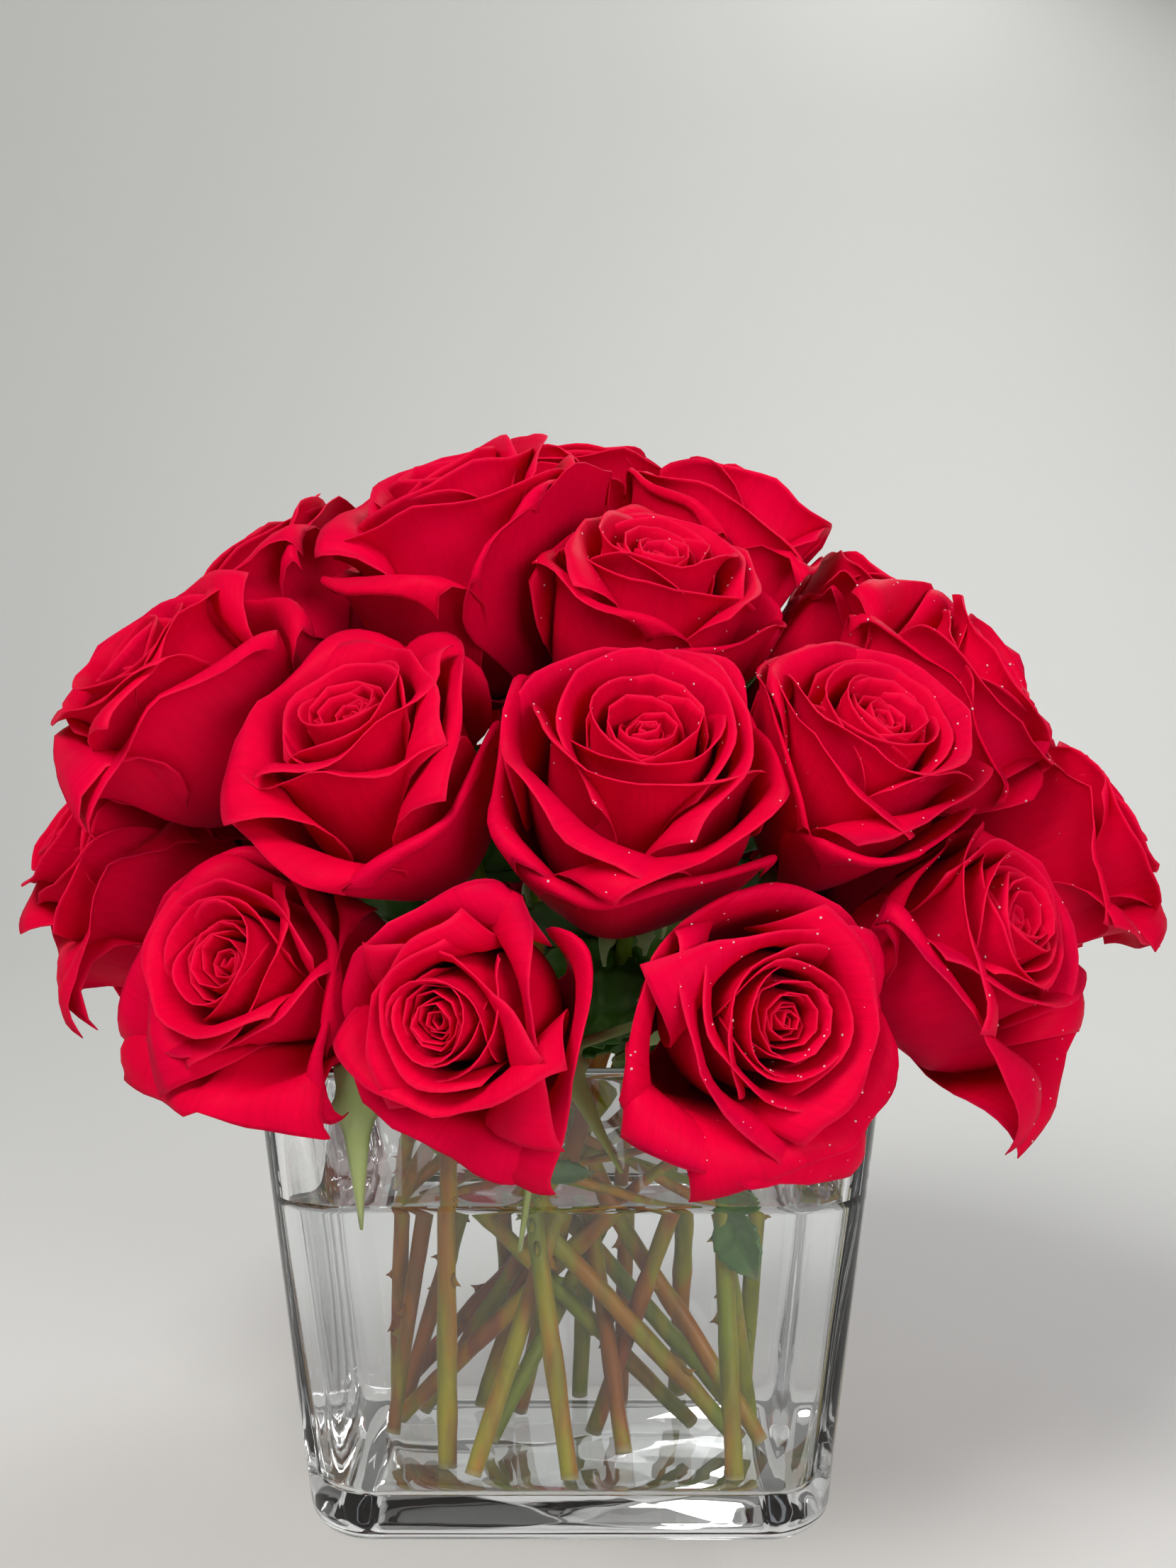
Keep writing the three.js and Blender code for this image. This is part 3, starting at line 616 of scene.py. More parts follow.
def bloom_piece(rose, number, material, dew):
    at = FRAMES[number]
    walls = walls_around(number)
    draw = Draw(PETAL_SEED + number)
    pile = Pile(["along", "across", "order", "edge", "tone"])
    for order in range(PETALS):
        petal = petal_facts(rose, order, draw)
        outer = order >= FIRST_OUTER
        us = columns_across(OUTER_COLUMNS if outer else INNER_COLUMNS)
        rows = OUTER_ROWS if outer else INNER_ROWS
        points, edge = petal_surface(petal, us, rows)
        points = place_in_bloom(at, points * rose["size"])
        points = keep_off_vase(keep_in_cell(keep_off_vase(points), walls))
        share = RIM_THICKNESS + (1 - RIM_THICKNESS) * np.clip(edge / RIM_ZONE, 0, 1)
        add_sheet(
            pile, points, PETAL_THICKNESS * share, along=np.array(rows)[:, None] / STEPS_ALONG,
            across=us[None, :], order=petal["t"], edge=edge, tone=petal["tone"])
        if number + 1 in DEWY and order >= FIRST_DEWY:
            drops = Draw(DEW_SEED + DEW_SEEDS_OF_BLOOM * number + order)
            add_dew(dew, points, at["axis"] + FACING, drops)
    label = f"{number + 1:02d}"
    pile.piece("rose_bloom_" + label, [material], "bloom_" + label, "petal")


# Stems: straight from the vase's floor to just above the water, then bent into the hip

def inside_half(z):
    return FOOT_HALF + (MOUTH_HALF - FOOT_HALF) * z / VASE_HEIGHT - WALL


def bezier(points, shares):
    a, b, c, d = points
    s = np.asarray(shares, float)[:, None]
    return a * (1 - s) ** 3 + b * 3 * s * (1 - s) ** 2 + c * 3 * s ** 2 * (1 - s) + d * s ** 3


def neck_points(number, foot, bend):
    at = FRAMES[number]
    top = at["base"] - at["axis"] * (HIP_LENGTH + NECK_LENGTH)
    reach = np.linalg.norm(top - bend) * BEND_SOFTNESS
    return bend, bend + unit(bend - foot) * reach, top - at["axis"] * reach, top


def first_ends(rose, number):
    at = FRAMES[number]
    under = at["base"] - at["axis"] * NECK_PULL
    limit = inside_half(BEND_LEVEL) - rose["stem"] - MOUTH_CLEARANCE
    bend = np.clip(rose.get("bend", under[:2] * MOUTH_SHARE), -limit, limit)
    return np.array([[*rose["foot"], FLOOR + 1], [*bend, BEND_LEVEL]], float)


def relaxed_ends():
    """Feet and bend starts of all the stems, pushed clear of each other"""
    ends = np.array([first_ends(rose, number) for number, rose in enumerate(ROSES)])
    thick = np.array([rose["stem"] for rose in ROSES])
    straight = np.arange(STRAIGHT_SAMPLES) / STRAIGHT_SAMPLES
    bent = np.arange(BEND_SAMPLES) / BEND_SAMPLES
    follow_foot = np.concatenate([1 - straight, 0 * bent])
    follow_bend = np.concatenate([straight, 1 - bent])
    limit_foot = inside_half(FLOOR + 1) - thick - FLOOR_ROUNDING
    limit_bend = inside_half(BEND_LEVEL) - thick - MOUTH_CLEARANCE
    limits = np.stack([limit_foot, limit_bend], axis=1)[..., None]
    first, second = np.tril_indices(len(ROSES), -1)
    need = (thick[first] + thick[second] + ROUTE_CLEARANCE)[:, None, None]
    for _ in range(ROUTE_ROUNDS):
        samples = np.array([
            np.vstack([
                end[0] + (end[1] - end[0]) * straight[:, None],
                bezier(neck_points(number, end[0], end[1]), bent)])
            for number, end in enumerate(ends)])
        apart = samples[first][:, :, None, :] - samples[second][:, None, :, :]
        near = (np.abs(apart) <= need[..., None]).all(axis=3)
        distance = np.linalg.norm(apart, axis=3)
        level = np.hypot(apart[..., 0], apart[..., 1])
        level[level == 0] = 1
        push = np.where(near & (distance < need), ROUTE_PUSH * (need - distance) / level, 0)
        shift = apart[..., :2] * push[..., None]
        moves = np.zeros((len(ROSES), 2, 2))
        for end, follow in enumerate((follow_foot, follow_bend)):
            np.add.at(moves[:, end], first, np.einsum("pijk,i->pk", shift, follow))
            np.add.at(moves[:, end], second, -np.einsum("pijk,j->pk", shift, follow))
        ends[:, :, :2] = np.clip(ends[:, :, :2] + moves, -limits, limits)
    return ends


def raised_foot(rose, foot, bend):
    """The foot's middle, high enough for the slanting stem's end to clear the floor"""
    slope = unit(bend - foot)
    return np.array([*foot[:2], FLOOR + GAP + rose["stem"] * math.hypot(slope[0], slope[1])])


def stem_route(rose, number, ends):
    """Points and radii of a stem from its foot to the top of its hip"""
    at = FRAMES[number]
    foot, bend = raised_foot(rose, *ends), ends[1]
    shares = np.linspace(0, 1, int(np.linalg.norm(bend - foot) / STEM_STEP))
    straight = foot + (bend - foot) * shares[:, None]
    count = int(np.linalg.norm(at["base"] - bend) / STEM_STEP)
    curve = np.linspace(0, 1, count)[1:]
    bent = bezier(neck_points(number, foot, bend), curve)
    hip = np.array([at["base"] - at["axis"] * down for down in HIP_KNOTS[1:]])
    radii = np.concatenate([
        np.full(len(straight), rose["stem"]), rose["stem"] - STEM_TAPER * curve, HIP_RADII[1:]])
    return np.vstack([straight, bent, hip]), radii


def tangents_of(points):
    legs = np.diff(points, axis=0)
    legs /= np.linalg.norm(legs, axis=1, keepdims=True)
    inner = legs[:-1] + legs[1:]
    inner /= np.linalg.norm(inner, axis=1, keepdims=True)
    return np.vstack([legs[:1], inner, legs[-1:]])


def carried_normals(points):
    """A normal at each point, carried along without twist"""
    tangents = tangents_of(points)
    start = np.zeros(3)
    start[np.argmin(np.abs(tangents[0]))] = 1
    normal = np.cross(tangents[0], unit(np.cross(tangents[0], start)))
    normals = [normal]
    for before, after in zip(tangents[:-1], tangents[1:]):
        axis = np.cross(before, after)
        size = np.linalg.norm(axis)
        if size > 1e-9:
            axis = axis / size
            angle = math.acos(np.clip(before @ after, -1, 1))
            normal = (normal * math.cos(angle) + np.cross(axis, normal) * math.sin(angle)
                      + axis * (axis @ normal) * (1 - math.cos(angle)))
        normals.append(normal)
    return tangents, np.array(normals)


def hip_faces(rose, number, ends):
    """The directions in which the five sepals of a hip stand out"""
    at = FRAMES[number]
    foot = raised_foot(rose, *ends)
    curve = bezier(neck_points(number, foot, ends[1]), BEND_SHARES)
    hip = [at["base"] - at["axis"] * down for down in (HIP_LENGTH, HIP_WAIST, GAP)]
    tangents, normals = carried_normals(np.vstack([foot, ends[1], curve, hip]))
    side = np.cross(tangents[-1], normals[-1])
    angles = math.tau * (np.arange(FACES_OF_HIP) + 0.5) / FACES_OF_HIP
    return [normals[-1] * math.cos(angle) + side * math.sin(angle) for angle in angles]


def ring_faces(rings, count):
    """The faces between rings of as many points each, closed at both ends"""
    faces = []
    for i in range(rings - 1):
        for j in range(count):
            a = i * count + j
            b = i * count + (j + 1) % count
            faces.append((a, b, b + count, a + count))
    faces.append(tuple(range(count))[::-1])
    faces.append(tuple(range((rings - 1) * count, rings * count)))
    return faces


def add_tube(pile, points, radii, tone):
    tangents, normals = carried_normals(points)
    sides = np.cross(tangents, normals)
    angles = (math.tau * np.arange(STEM_SIDES) / STEM_SIDES)[None, :, None]
    ring = normals[:, None] * np.cos(angles) + sides[:, None] * np.sin(angles)
    corners = points[:, None] + ring * radii[..., None]
    length = np.linspace(0, 1, len(points))
    faces = ring_faces(len(points), STEM_SIDES)
    pile.add(corners, faces, up=np.repeat(length, STEM_SIDES), tone=tone)


def uneven_radii(points, radii, draw):
    """A stem's radius with its knots, faint swellings and a slightly flattened section"""
    run = np.concatenate([[0], np.cumsum(np.linalg.norm(np.diff(points, axis=0), axis=1))])
    swell = 1
    for depth, spacing in SWELLINGS:
        swell = swell + depth * np.sin(run / spacing + draw(0, 6))
    for _ in range(KNOTS_OF_STEM):
        knot = draw(KNOT_LOWEST, run[-1] - KNOT_BELOW_TOP)
        swell = swell + KNOT_DEPTH * np.exp(-((run - knot) / KNOT_WIDTH) ** 2)
    hip = run > run[-1] - HIP_LENGTH - NECK_LENGTH
    swell = np.where(hip, 1, swell)
    angles = math.tau * np.arange(STEM_SIDES) / STEM_SIDES
    flat = 1 + FLATTENED * np.cos(2 * angles + draw(0, 6))
    flat = np.where(hip[:, None], 1, flat[None, :])
    return radii[:, None] * np.minimum(swell[:, None] * flat, MOST_SWOLLEN)


def add_thorns(pile, points, radii, draw, tone):
    tangents, normals = carried_normals(points)
    for _ in range(THORNS):
        i = int(draw(THORN_LOWEST, len(points) - THORN_BELOW_TOP))
        angle = draw(0, math.tau)
        side = np.cross(tangents[i], normals[i])
        out = normals[i] * math.cos(angle) + side * math.sin(angle)
        sideways = np.cross(tangents[i], out)
        root = points[i] + out * (radii[i] * THORN_SUNK)
        tip = root + out * THORN_LENGTH - tangents[i] * THORN_HOOK
        ring = [
            root + tangents[i] * THORN_TALL * math.cos(a) + sideways * THORN_WIDE * math.sin(a)
            for a in math.tau * np.arange(THORN_SIDES) / THORN_SIDES]
        middle = [np.array(THORN_MIDDLE) @ [corner, root, tip] for corner in ring]
        faces = [tuple(range(THORN_SIDES))[::-1]]
        for j in range(THORN_SIDES):
            k = (j + 1) % THORN_SIDES
            faces.append((j, k, k + THORN_SIDES, j + THORN_SIDES))
            faces.append((j + THORN_SIDES, k + THORN_SIDES, 2 * THORN_SIDES))
        pile.add(np.vstack([ring, middle, [tip]]), faces, up=0.5, tone=tone)


def add_blade(pile, spine, across, wide, walls, draw, tone):
    """A narrow lobed sepal along a spine, cupped a little and twisted towards its tip"""
    shares = np.linspace(0, 1, len(spine))
    tangents = tangents_of(spine)
    away = np.cross(tangents, across)
    away /= np.linalg.norm(away, axis=1, keepdims=True)
    twist = (draw(-BLADE_TWIST, BLADE_TWIST) * shares ** 1.5)[:, None]
    width = wide / 2 * np.minimum(0.45 + 2.2 * shares, 1) * (1 - shares ** 1.7) + BLADE_TIP
    lobe = wide * LOBE_SHARE * np.exp(-((shares - draw(*LOBE_PLACE)) / LOBE_SPREAD) ** 2)
    us = np.linspace(-1, 1, BLADE_COLUMNS)
    flat = us[None, :, None] * (width + lobe)[:, None, None]
    cup = (1 - us[None, :, None] ** 2) * BLADE_CUP
    sideways = (across * np.cos(twist) + away * np.sin(twist))[:, None]
    upward = (away * np.cos(twist) - across * np.sin(twist))[:, None]
    points = keep_in_cell(spine[:, None] + sideways * flat + upward * cup, walls)
    add_sheet(pile, points, SEPAL_THICKNESS, 1, up=shares[:, None], tone=tone)


def add_sepal(pile, at, out, walls, draw, tone):
    start = at["base"] - at["axis"] * SEPAL_DEPTH + out * SEPAL_SEAT
    elbow = start + out * SEPAL_REACH - at["axis"] * SEPAL_DIP
    drop = SEPAL_DROP * draw(*DROP_DRAW) * (1 if at["axis"][2] < UPRIGHT else UPRIGHT_DROP)
    tip = elbow - at["axis"] * drop - out * SEPAL_DIP
    tip[2] -= SEPAL_SAG
    across = unit(np.cross(at["axis"], out))
    s = np.linspace(0, 1, SEPAL_STEPS + 1)[:, None]
    spine = start * (1 - s) ** 2 + elbow * 2 * s * (1 - s) + tip * s ** 2
    spine = spine + across * (draw(-SEPAL_SWAY, SEPAL_SWAY) * s ** 2)
    add_blade(pile, spine, across, SEPAL_WIDTH, walls, draw, tone)


def add_hanging(pile, at, draw, over, tip, width):
    """A long sepal from the hip out over the vase's rim and down"""
    start = at["base"] - at["axis"] * SEPAL_DEPTH
    start = start + unit(over - start) * SEPAL_SEAT
    elbow = over + unit(over - start) * HANGING_BULGE
    s = np.linspace(0, 1, HANGING_STEPS + 1)[1:, None]
    upper = start * (1 - s) ** 2 + over * (1 - (1 - s) ** 2)
    lower = over * (1 - s) ** 2 + elbow * 2 * s * (1 - s) + tip * s ** 2
    quarter = HANGING_STEPS // 4
    spine = np.vstack([start, upper[quarter - 1::quarter], lower[1::2]])
    add_blade(pile, spine, np.array([1.0, 0.0, 0.0]), width, [], draw, 0.0)


def leaf_grid(length):
    """A toothed blade, folded a little along its rib and arched"""
    along = np.linspace(0, 1, STEPS_TO_TOOTH * LEAF_TEETH + 1)
    us = np.linspace(-1, 1, LEAF_COLUMNS)
    teeth = 1 - TOOTH_DEPTH + TOOTH_DEPTH * ((along * LEAF_TEETH) % 1)
    half = length * LEAF_SHARE * np.sin(math.pi * along ** 0.8) * teeth + LEAF_TIP
    x = along[:, None] * length + np.abs(us)[None, :] * half[:, None] * LEAF_SWEEP
    y = us[None, :] * half[:, None]
    buckled = LEAF_BUCKLE * np.sin(along[:, None] * LEAF_BUCKLES) * np.abs(us)
    z = LEAF_FOLD * np.abs(y) - LEAF_ARCH * along[:, None] ** 2 + buckled
    return np.stack([x, y, z], axis=2), along


def turned_about(points, axis, degrees):
    c, s = math.cos(math.radians(degrees)), math.sin(math.radians(degrees))
    a, b = [(1, 2), (2, 0), (0, 1)][axis]
    turned = points.copy()
    turned[..., a] = points[..., a] * c - points[..., b] * s
    turned[..., b] = points[..., a] * s + points[..., b] * c
    return turned


def add_leaf(pile, route, tone, height, heading, tilt, length):
    joint = np.array([np.interp(height, route[:, 2], route[:, k]) for k in range(3)])
    points, along = leaf_grid(length)
    points = turned_about(points, 0, LEAF_TWIST)
    points = turned_about(points, 1, -tilt)
    points = turned_about(points, 2, heading) + joint
    add_sheet(pile, points, LEAF_THICKNESS, 2, up=along[:, None], tone=tone)


def leaves_of(number, top, draw):
    """Height, heading, tilt and length of each leaf of a stem"""
    leaves = [leaf for rose, *leaf in LEAVES if rose == number + 1]
    if top >= INNER_HEIGHT:
        for _ in range(INNER_LEAVES):
            leaves.append([
                top - draw(*INNER_BELOW), draw(0, 360), draw(*INNER_TILT), draw(*INNER_LENGTH)])
    return leaves


def stem_piece(rose, number, ends, materials):
    pile = Pile(["up", "tone"])
    draw = Draw(SEPAL_SEED + number)
    at = FRAMES[number]
    walls = walls_around(number)
    shades = Draw(STEM_SEED + number)
    tone = shades(0, 1)
    points, radii = stem_route(rose, number, ends)
    add_tube(pile, points, uneven_radii(points, radii, shades), tone)
    add_thorns(pile, points, radii, shades, tone)
    for out in hip_faces(rose, number, ends):
        add_sepal(pile, at, out, walls, draw, draw(0, 1))
    for rose_number, over, tip, width in HANGING:
        if rose_number == number + 1:
            add_hanging(pile, at, shades, np.array(over), np.array(tip), width)
    for leaf in leaves_of(number, points[-1][2], shades):
        add_leaf(pile, points, tone, *leaf)
    label = f"{number + 1:02d}"
    pile.piece("rose_stem_" + label, materials, "stem_" + label, "stem")


# Vase and water

def square_ring(half, radius, z):
    """One ring of a square with round corners"""
    flat = half - radius
    corners = [(flat, -flat), (flat, flat), (-flat, flat), (-flat, -flat)]
    middles = [np.array([x, y, z]) for x, y in corners]

    def around(corner, angle):
        return middles[corner % 4] + radius * np.array([math.cos(angle), math.sin(angle), 0])

    points = []
    for corner in range(4):
        quarter = math.pi / 2
        for i in range(CORNER_POINTS + 1):
            points.append(around(corner, quarter * (corner - 1 + i / CORNER_POINTS)))
        end, start = points[-1], around(corner + 1, quarter * corner)
        for i in range(1, SIDE_POINTS):
            points.append(end + (start - end) * (i / SIDE_POINTS))
    return np.array(points)


def rounded_up(rounding, bottom):
    """Inset and height at each step of the rounding from a flat underside into a wall"""
    angles = np.linspace(0, math.pi / 2, ROUNDING_STEPS)
    return [(rounding * (1 - math.sin(a)), bottom + rounding * (1 - math.cos(a))) for a in angles]


def rippled(ring, z, strength):
    """Pressed glass is faintly uneven in upright streaks"""
    angle = np.arctan2(ring[:, 1], ring[:, 0])
    size = np.hypot(ring[:, 0], ring[:, 1])
    wave = np.sin(angle * 23 + 0.6 * math.sin(z / 31))
    wave = wave + 0.7 * np.sin(angle * 41 + 1.3 + 0.5 * math.sin(z / 17))
    wave = wave + 0.4 * np.sin(angle * 9 + z / 40)
    level = np.abs(ring[:, :2])
    cornered = smooth(*NEAR_CORNER, level.min(axis=1) / level.max(axis=1))
    shift = wave * strength * (WAVE_ON_FLATS + (1 - WAVE_ON_FLATS) * cornered)
    moved = ring.copy()
    moved[:, :2] += ring[:, :2] / size[:, None] * shift[:, None]
    return moved


def tapered_ring(foot_half, radius, inset, z, wave=0, phase=0):
    """A ring of the tapered prism whose half width at the foot is given, drawn in by inset"""
    scale = (foot_half + (MOUTH_HALF - FOOT_HALF) * z / VASE_HEIGHT) / foot_half
    ring = square_ring((foot_half - inset) * scale, max(radius - inset, 0.5) * scale, z)
    return rippled(ring, z + phase, wave)


def ring_piece(rings, name, material, node, slot):
    pile = Pile()
    pile.add(np.vstack(rings), ring_faces(len(rings), len(rings[0])))
    pile.piece(name, [material], node, slot)


def vase_rings():
    shoulder = VASE_HEIGHT - RIM_ROUNDING
    foot = FOOT_RECESS + rounded_up(FOOT_ROUNDING, 0)
    rings = [tapered_ring(FOOT_HALF, CORNER_OUTSIDE, inset, z) for inset, z in foot]
    for z in np.linspace(FOOT_ROUNDING, shoulder, WALL_STEPS)[1:]:
        fade = min(1, (z - FOOT_ROUNDING) / OUTER_FADE, (shoulder - z) / OUTER_FADE)
        wave = OUTER_WAVE * fade
        rings.append(tapered_ring(FOOT_HALF, CORNER_OUTSIDE, 0, z, wave, OUTER_PHASE))
    inside = FOOT_HALF - WALL
    angles = np.linspace(0, math.pi / 2, RIM_STEPS)
    rim = [
        (RIM_ROUNDING * (1 - math.cos(a)), shoulder + RIM_ROUNDING * math.sin(a)) for a in angles]
    rings += [tapered_ring(FOOT_HALF, CORNER_OUTSIDE, inset, z) for inset, z in rim[1:]]
    rings += [tapered_ring(inside, CORNER_INSIDE, -inset, z) for inset, z in rim[::-1]]
    for z in np.linspace(shoulder, FLOOR + FLOOR_ROUNDING, WALL_STEPS)[1:]:
        fade = min(1, (VASE_HEIGHT - z) / INNER_FADE)
        rings.append(tapered_ring(inside, CORNER_INSIDE, 0, z, WALL_WAVE * fade))
    for inset, z in rounded_up(FLOOR_ROUNDING, FLOOR)[-2::-1]:
        wave = WALL_WAVE * (1 - inset / FLOOR_ROUNDING)
        rings.append(tapered_ring(inside, CORNER_INSIDE, inset, z, wave))
    return rings


def water_rings():
    half, radius = FOOT_HALF - WALL + WATER_INTO_GLASS, CORNER_INSIDE + WATER_INTO_GLASS
    rings = []
    for inset, z in rounded_up(FLOOR_ROUNDING, FLOOR - WATER_INTO_GLASS):
        wave = WALL_WAVE * (1 - inset / FLOOR_ROUNDING)
        rings.append(tapered_ring(half, radius, inset, z, wave))
    for z in np.linspace(FLOOR + FLOOR_ROUNDING, WATER_LEVEL + MENISCUS, WALL_STEPS)[1:]:
        rings.append(tapered_ring(half, radius, 0, z, WALL_WAVE))
    for inset in np.linspace(0, MENISCUS_REACH, MENISCUS_STEPS + 1)[1:]:
        z = WATER_LEVEL + MENISCUS * math.exp(-inset / MENISCUS_FALL)
        rings.append(tapered_ring(half, radius, inset, z))
    return rings


# Colours of the materials, linear

# Petal colour along its length: darker towards the base, painted shade of the folds deep in the
# bloom
PETAL_SHADED_BASE_RAMP = [
    (0.0, (0.13, 0.0, 0.005)), (0.35, (0.4, 0.0002, 0.015)), (0.65, (0.74, 0.0003, 0.03)),
    (1.0, (0.8, 0.0004, 0.037))]
PETAL_WARM = (0.78, 0.0, 0.056, 1)
PETAL_BLOTCH = (0.55, 0.0, 0.026, 1)
PETAL_VEIN = (0.48, 0.0, 0.018, 1)
PETAL_BRUISE = (0.2, 0.0, 0.03, 1)
# Painted highlight on the thin petal rims
PETAL_RIM_HIGHLIGHT = (0.88, 0.014, 0.07, 1)
PETAL_SHEEN = (1, 0.01, 0.12, 1)
PETAL_GLOW = (0.9, 0.004, 0.03, 1)
STEM_STRETCH = (1, 1, 0.16)
STEM_BANDS = [
    (0.2, (0.15, 0.19, 0.0)), (0.48, (0.27, 0.22, 0.0)), (0.7, (0.33, 0.13, 0.001)),
    (0.95, (0.25, 0.05, 0.006))]
STEM_TOP = (0.09, 0.19, 0.006, 1)
STEM_STREAK = (0.07, 0.05, 0.004, 1)
STEM_CUT = (0.42, 0.36, 0.16, 1)
SEPAL_LENGTHWISE = [(0.0, (0.2, 0.3, 0.07)), (0.5, (0.28, 0.38, 0.12)), (1.0, (0.33, 0.38, 0.13))]
SEPAL_SHADE = (0.16, 0.24, 0.05, 1)
SEPAL_MOTTLE = (0.36, 0.42, 0.2, 1)
LEAF_DARK = (0.014, 0.08, 0.0, 1)
LEAF_LIGHT = (0.06, 0.16, 0.006, 1)
LEAF_VEIN = (0.1, 0.19, 0.03, 1)
LEAF_BROWNED = (0.2, 0.12, 0.05, 1)
GLASS = dict(
    colour=(0.984, 0.994, 1.0, 1), shadow=(0.975, 0.985, 0.985, 1), ior=1.5, grain=60)
WATER = dict(
    colour=(0.99, 0.995, 0.99, 1), shadow=(0.985, 0.99, 0.985, 1), ior=1.333, grain=20)
# Pink tint of the dew: painted-in colour of the red petal seen through the drops
DEW_PAINTED_PETAL_TINT = (0.95, 0.62, 0.68, 1)
BACKDROP = (0.6, 0.6, 0.58, 1)


# Materials

class Nodes:
    """Short hands for building the node tree of a material or a world"""

    def __init__(self, owner, output="OutputMaterial"):
        self.owner = owner
        owner.use_nodes = True
        self.tree = owner.node_tree
        self.tree.nodes.clear()
        self.output = self.new(output)

    def new(self, kind, inputs=None, **settings):
        node = self.tree.nodes.new("ShaderNode" + kind)
        for name, value in settings.items():
            setattr(node, name, value)
        for name, value in (inputs or {}).items():
            if hasattr(value, "is_output"):
                self.tree.links.new(value, node.inputs[name])
            else:
                node.inputs[name].default_value = value
        return node

    def number(self, name):
        return self.new("Attribute", attribute_name=name).outputs["Fac"]

    def noise(self, scale, detail=4, roughness=0.5, distortion=0, vector=None):
        place = vector or self.new("TexCoord").outputs["Object"]
        return self.new("TexNoise", {
            "Vector": place, "Scale": scale, "Detail": detail, "Roughness": roughness,
            "Distortion": distortion}).outputs["Fac"]

    def sums(self, operation, a, b=0.0, c=0.0):
        return self.new("Math", {0: a, 1: b, 2: c}, operation=operation).outputs[0]

    def times(self, a, b):
        return self.sums("MULTIPLY", a, b)

    def remap(self, value, low, high, to_low=0.0, to_high=1.0):
        return self.new("MapRange", {
            "Value": value, "From Min": low, "From Max": high, "To Min": to_low,
            "To Max": to_high}, interpolation_type="SMOOTHSTEP").outputs["Result"]

    def mix(self, share, a, b):
        return self.new("Mix", {0: share, 6: a, 7: b}, data_type="RGBA").outputs[2]

    def ramp(self, value, stops):
        node = self.new("ValToRGB", {"Fac": value})
        ramp = node.color_ramp
        while len(ramp.elements) < len(stops):
            ramp.elements.new(0.5)
        for element, (place, colour) in zip(ramp.elements, stops):
            element.position = place
            element.color = (*colour, 1)
        return node.outputs["Color"]

    def bump(self, height, strength, distance):
        inputs = {"Height": height, "Strength": strength, "Distance": distance}
        return self.new("Bump", inputs).outputs["Normal"]

    def finish(self, shader, second=None, share=0.0):
        """The owner with one shader, or with a mix that has a share of a second one"""
        if second:
            shader = self.new("MixShader", {0: share, 1: shader.outputs[0], 2: second.outputs[0]})
        self.tree.links.new(shader.outputs[0], self.output.inputs["Surface"])
        return self.owner


def petal_material():
    n = Nodes(bpy.data.materials.new("rose_petal"))
    along, across, order = n.number("along"), n.number("across"), n.number("order")
    edge, tone = n.number("edge"), n.number("tone")
    mottle = n.noise(55, 4, 0.6)
    # Painted shade: each petal darkens towards its base, where the bloom's folds would shade it
    depth = n.remap(along, 0.15, 0.9)
    body = n.ramp(depth, PETAL_SHADED_BASE_RAMP)
    warm = n.mix(n.times(tone, 0.45), body, PETAL_WARM)
    blotched = n.mix(n.remap(mottle, 0.42, 0.72, 0, 0.25), warm, PETAL_BLOTCH)
    spread = n.new("CombineXYZ", {
        "X": n.times(across, 19.0), "Y": n.times(along, 2.2), "Z": n.times(tone, 30.0)}).outputs[0]
    veins = n.noise(1.6, 3, 0.6, 0.4, spread)
    veined = n.mix(n.remap(veins, 0.35, 0.75, 0, 0.2), blotched, PETAL_VEIN)
    outer = n.remap(order, 0.5, 1.0)
    bruised = n.times(outer, n.remap(n.noise(30, 3, 0.6), 0.5, 0.72))
    margin = n.times(n.remap(edge, 0.0, 2.6, 1, 0), n.times(bruised, 0.6))
    dark_margin = n.mix(margin, veined, PETAL_BRUISE)
    # Painted highlight: the thin rims are lightened towards a bright pink-red
    rim = n.remap(edge, 0.0, 0.55, 0.5, 0)
    colour = n.mix(rim, dark_margin, PETAL_RIM_HIGHLIGHT)
    fine = n.noise(900, 2, 0.6)
    relief = n.sums("ADD", n.times(veins, 0.8), n.times(fine, 0.2))
    normal = n.bump(relief, 0.22, 0.0006)
    rough = n.remap(mottle, 0.3, 0.7, 0.42, 0.6)
    shader = n.new("BsdfPrincipled", {
        "Base Color": colour, "Roughness": rough, "Normal": normal, "Specular IOR Level": 0.025,
        "Sheen Weight": 0.06, "Sheen Roughness": 0.4, "Sheen Tint": PETAL_SHEEN})
    glow = n.mix(0.5, colour, PETAL_GLOW)
    through = n.new("BsdfTranslucent", {"Color": glow, "Normal": normal})
    return n.finish(shader, through, 0.2)


def stem_material():
    n = Nodes(bpy.data.materials.new("rose_stem"))
    tone, up = n.number("tone"), n.number("up")
    upright = {"Vector": n.new("TexCoord").outputs["Object"], "Scale": STEM_STRETCH}
    place = n.new("Mapping", upright, vector_type="POINT").outputs[0]
    streaks = n.noise(260, 4, 0.6, 0.3, place)
    patches = n.noise(38, 3, 0.6)
    sides = n.remap(n.noise(105, 2, 0.5, 0.2, place), 0.36, 0.64)
    share = n.sums("ADD", n.times(tone, 0.4), n.times(patches, 0.2))
    banded = n.sums("MULTIPLY_ADD", sides, 0.5, share)
    base = n.ramp(banded, STEM_BANDS)
    green = n.mix(n.remap(up, 0.55, 0.95), base, STEM_TOP)
    colour = n.mix(n.remap(streaks, 0.4, 0.7, 0, 0.45), green, STEM_STREAK)
    cut = n.mix(n.remap(up, 0.0, 0.012, 0.8, 0), colour, STEM_CUT)
    shader = n.new("BsdfPrincipled", {
        "Base Color": cut, "Roughness": n.remap(patches, 0.3, 0.7, 0.38, 0.55),
        "Specular IOR Level": 0.2, "Normal": n.bump(streaks, 0.35, 0.0006)})
    return n.finish(shader)


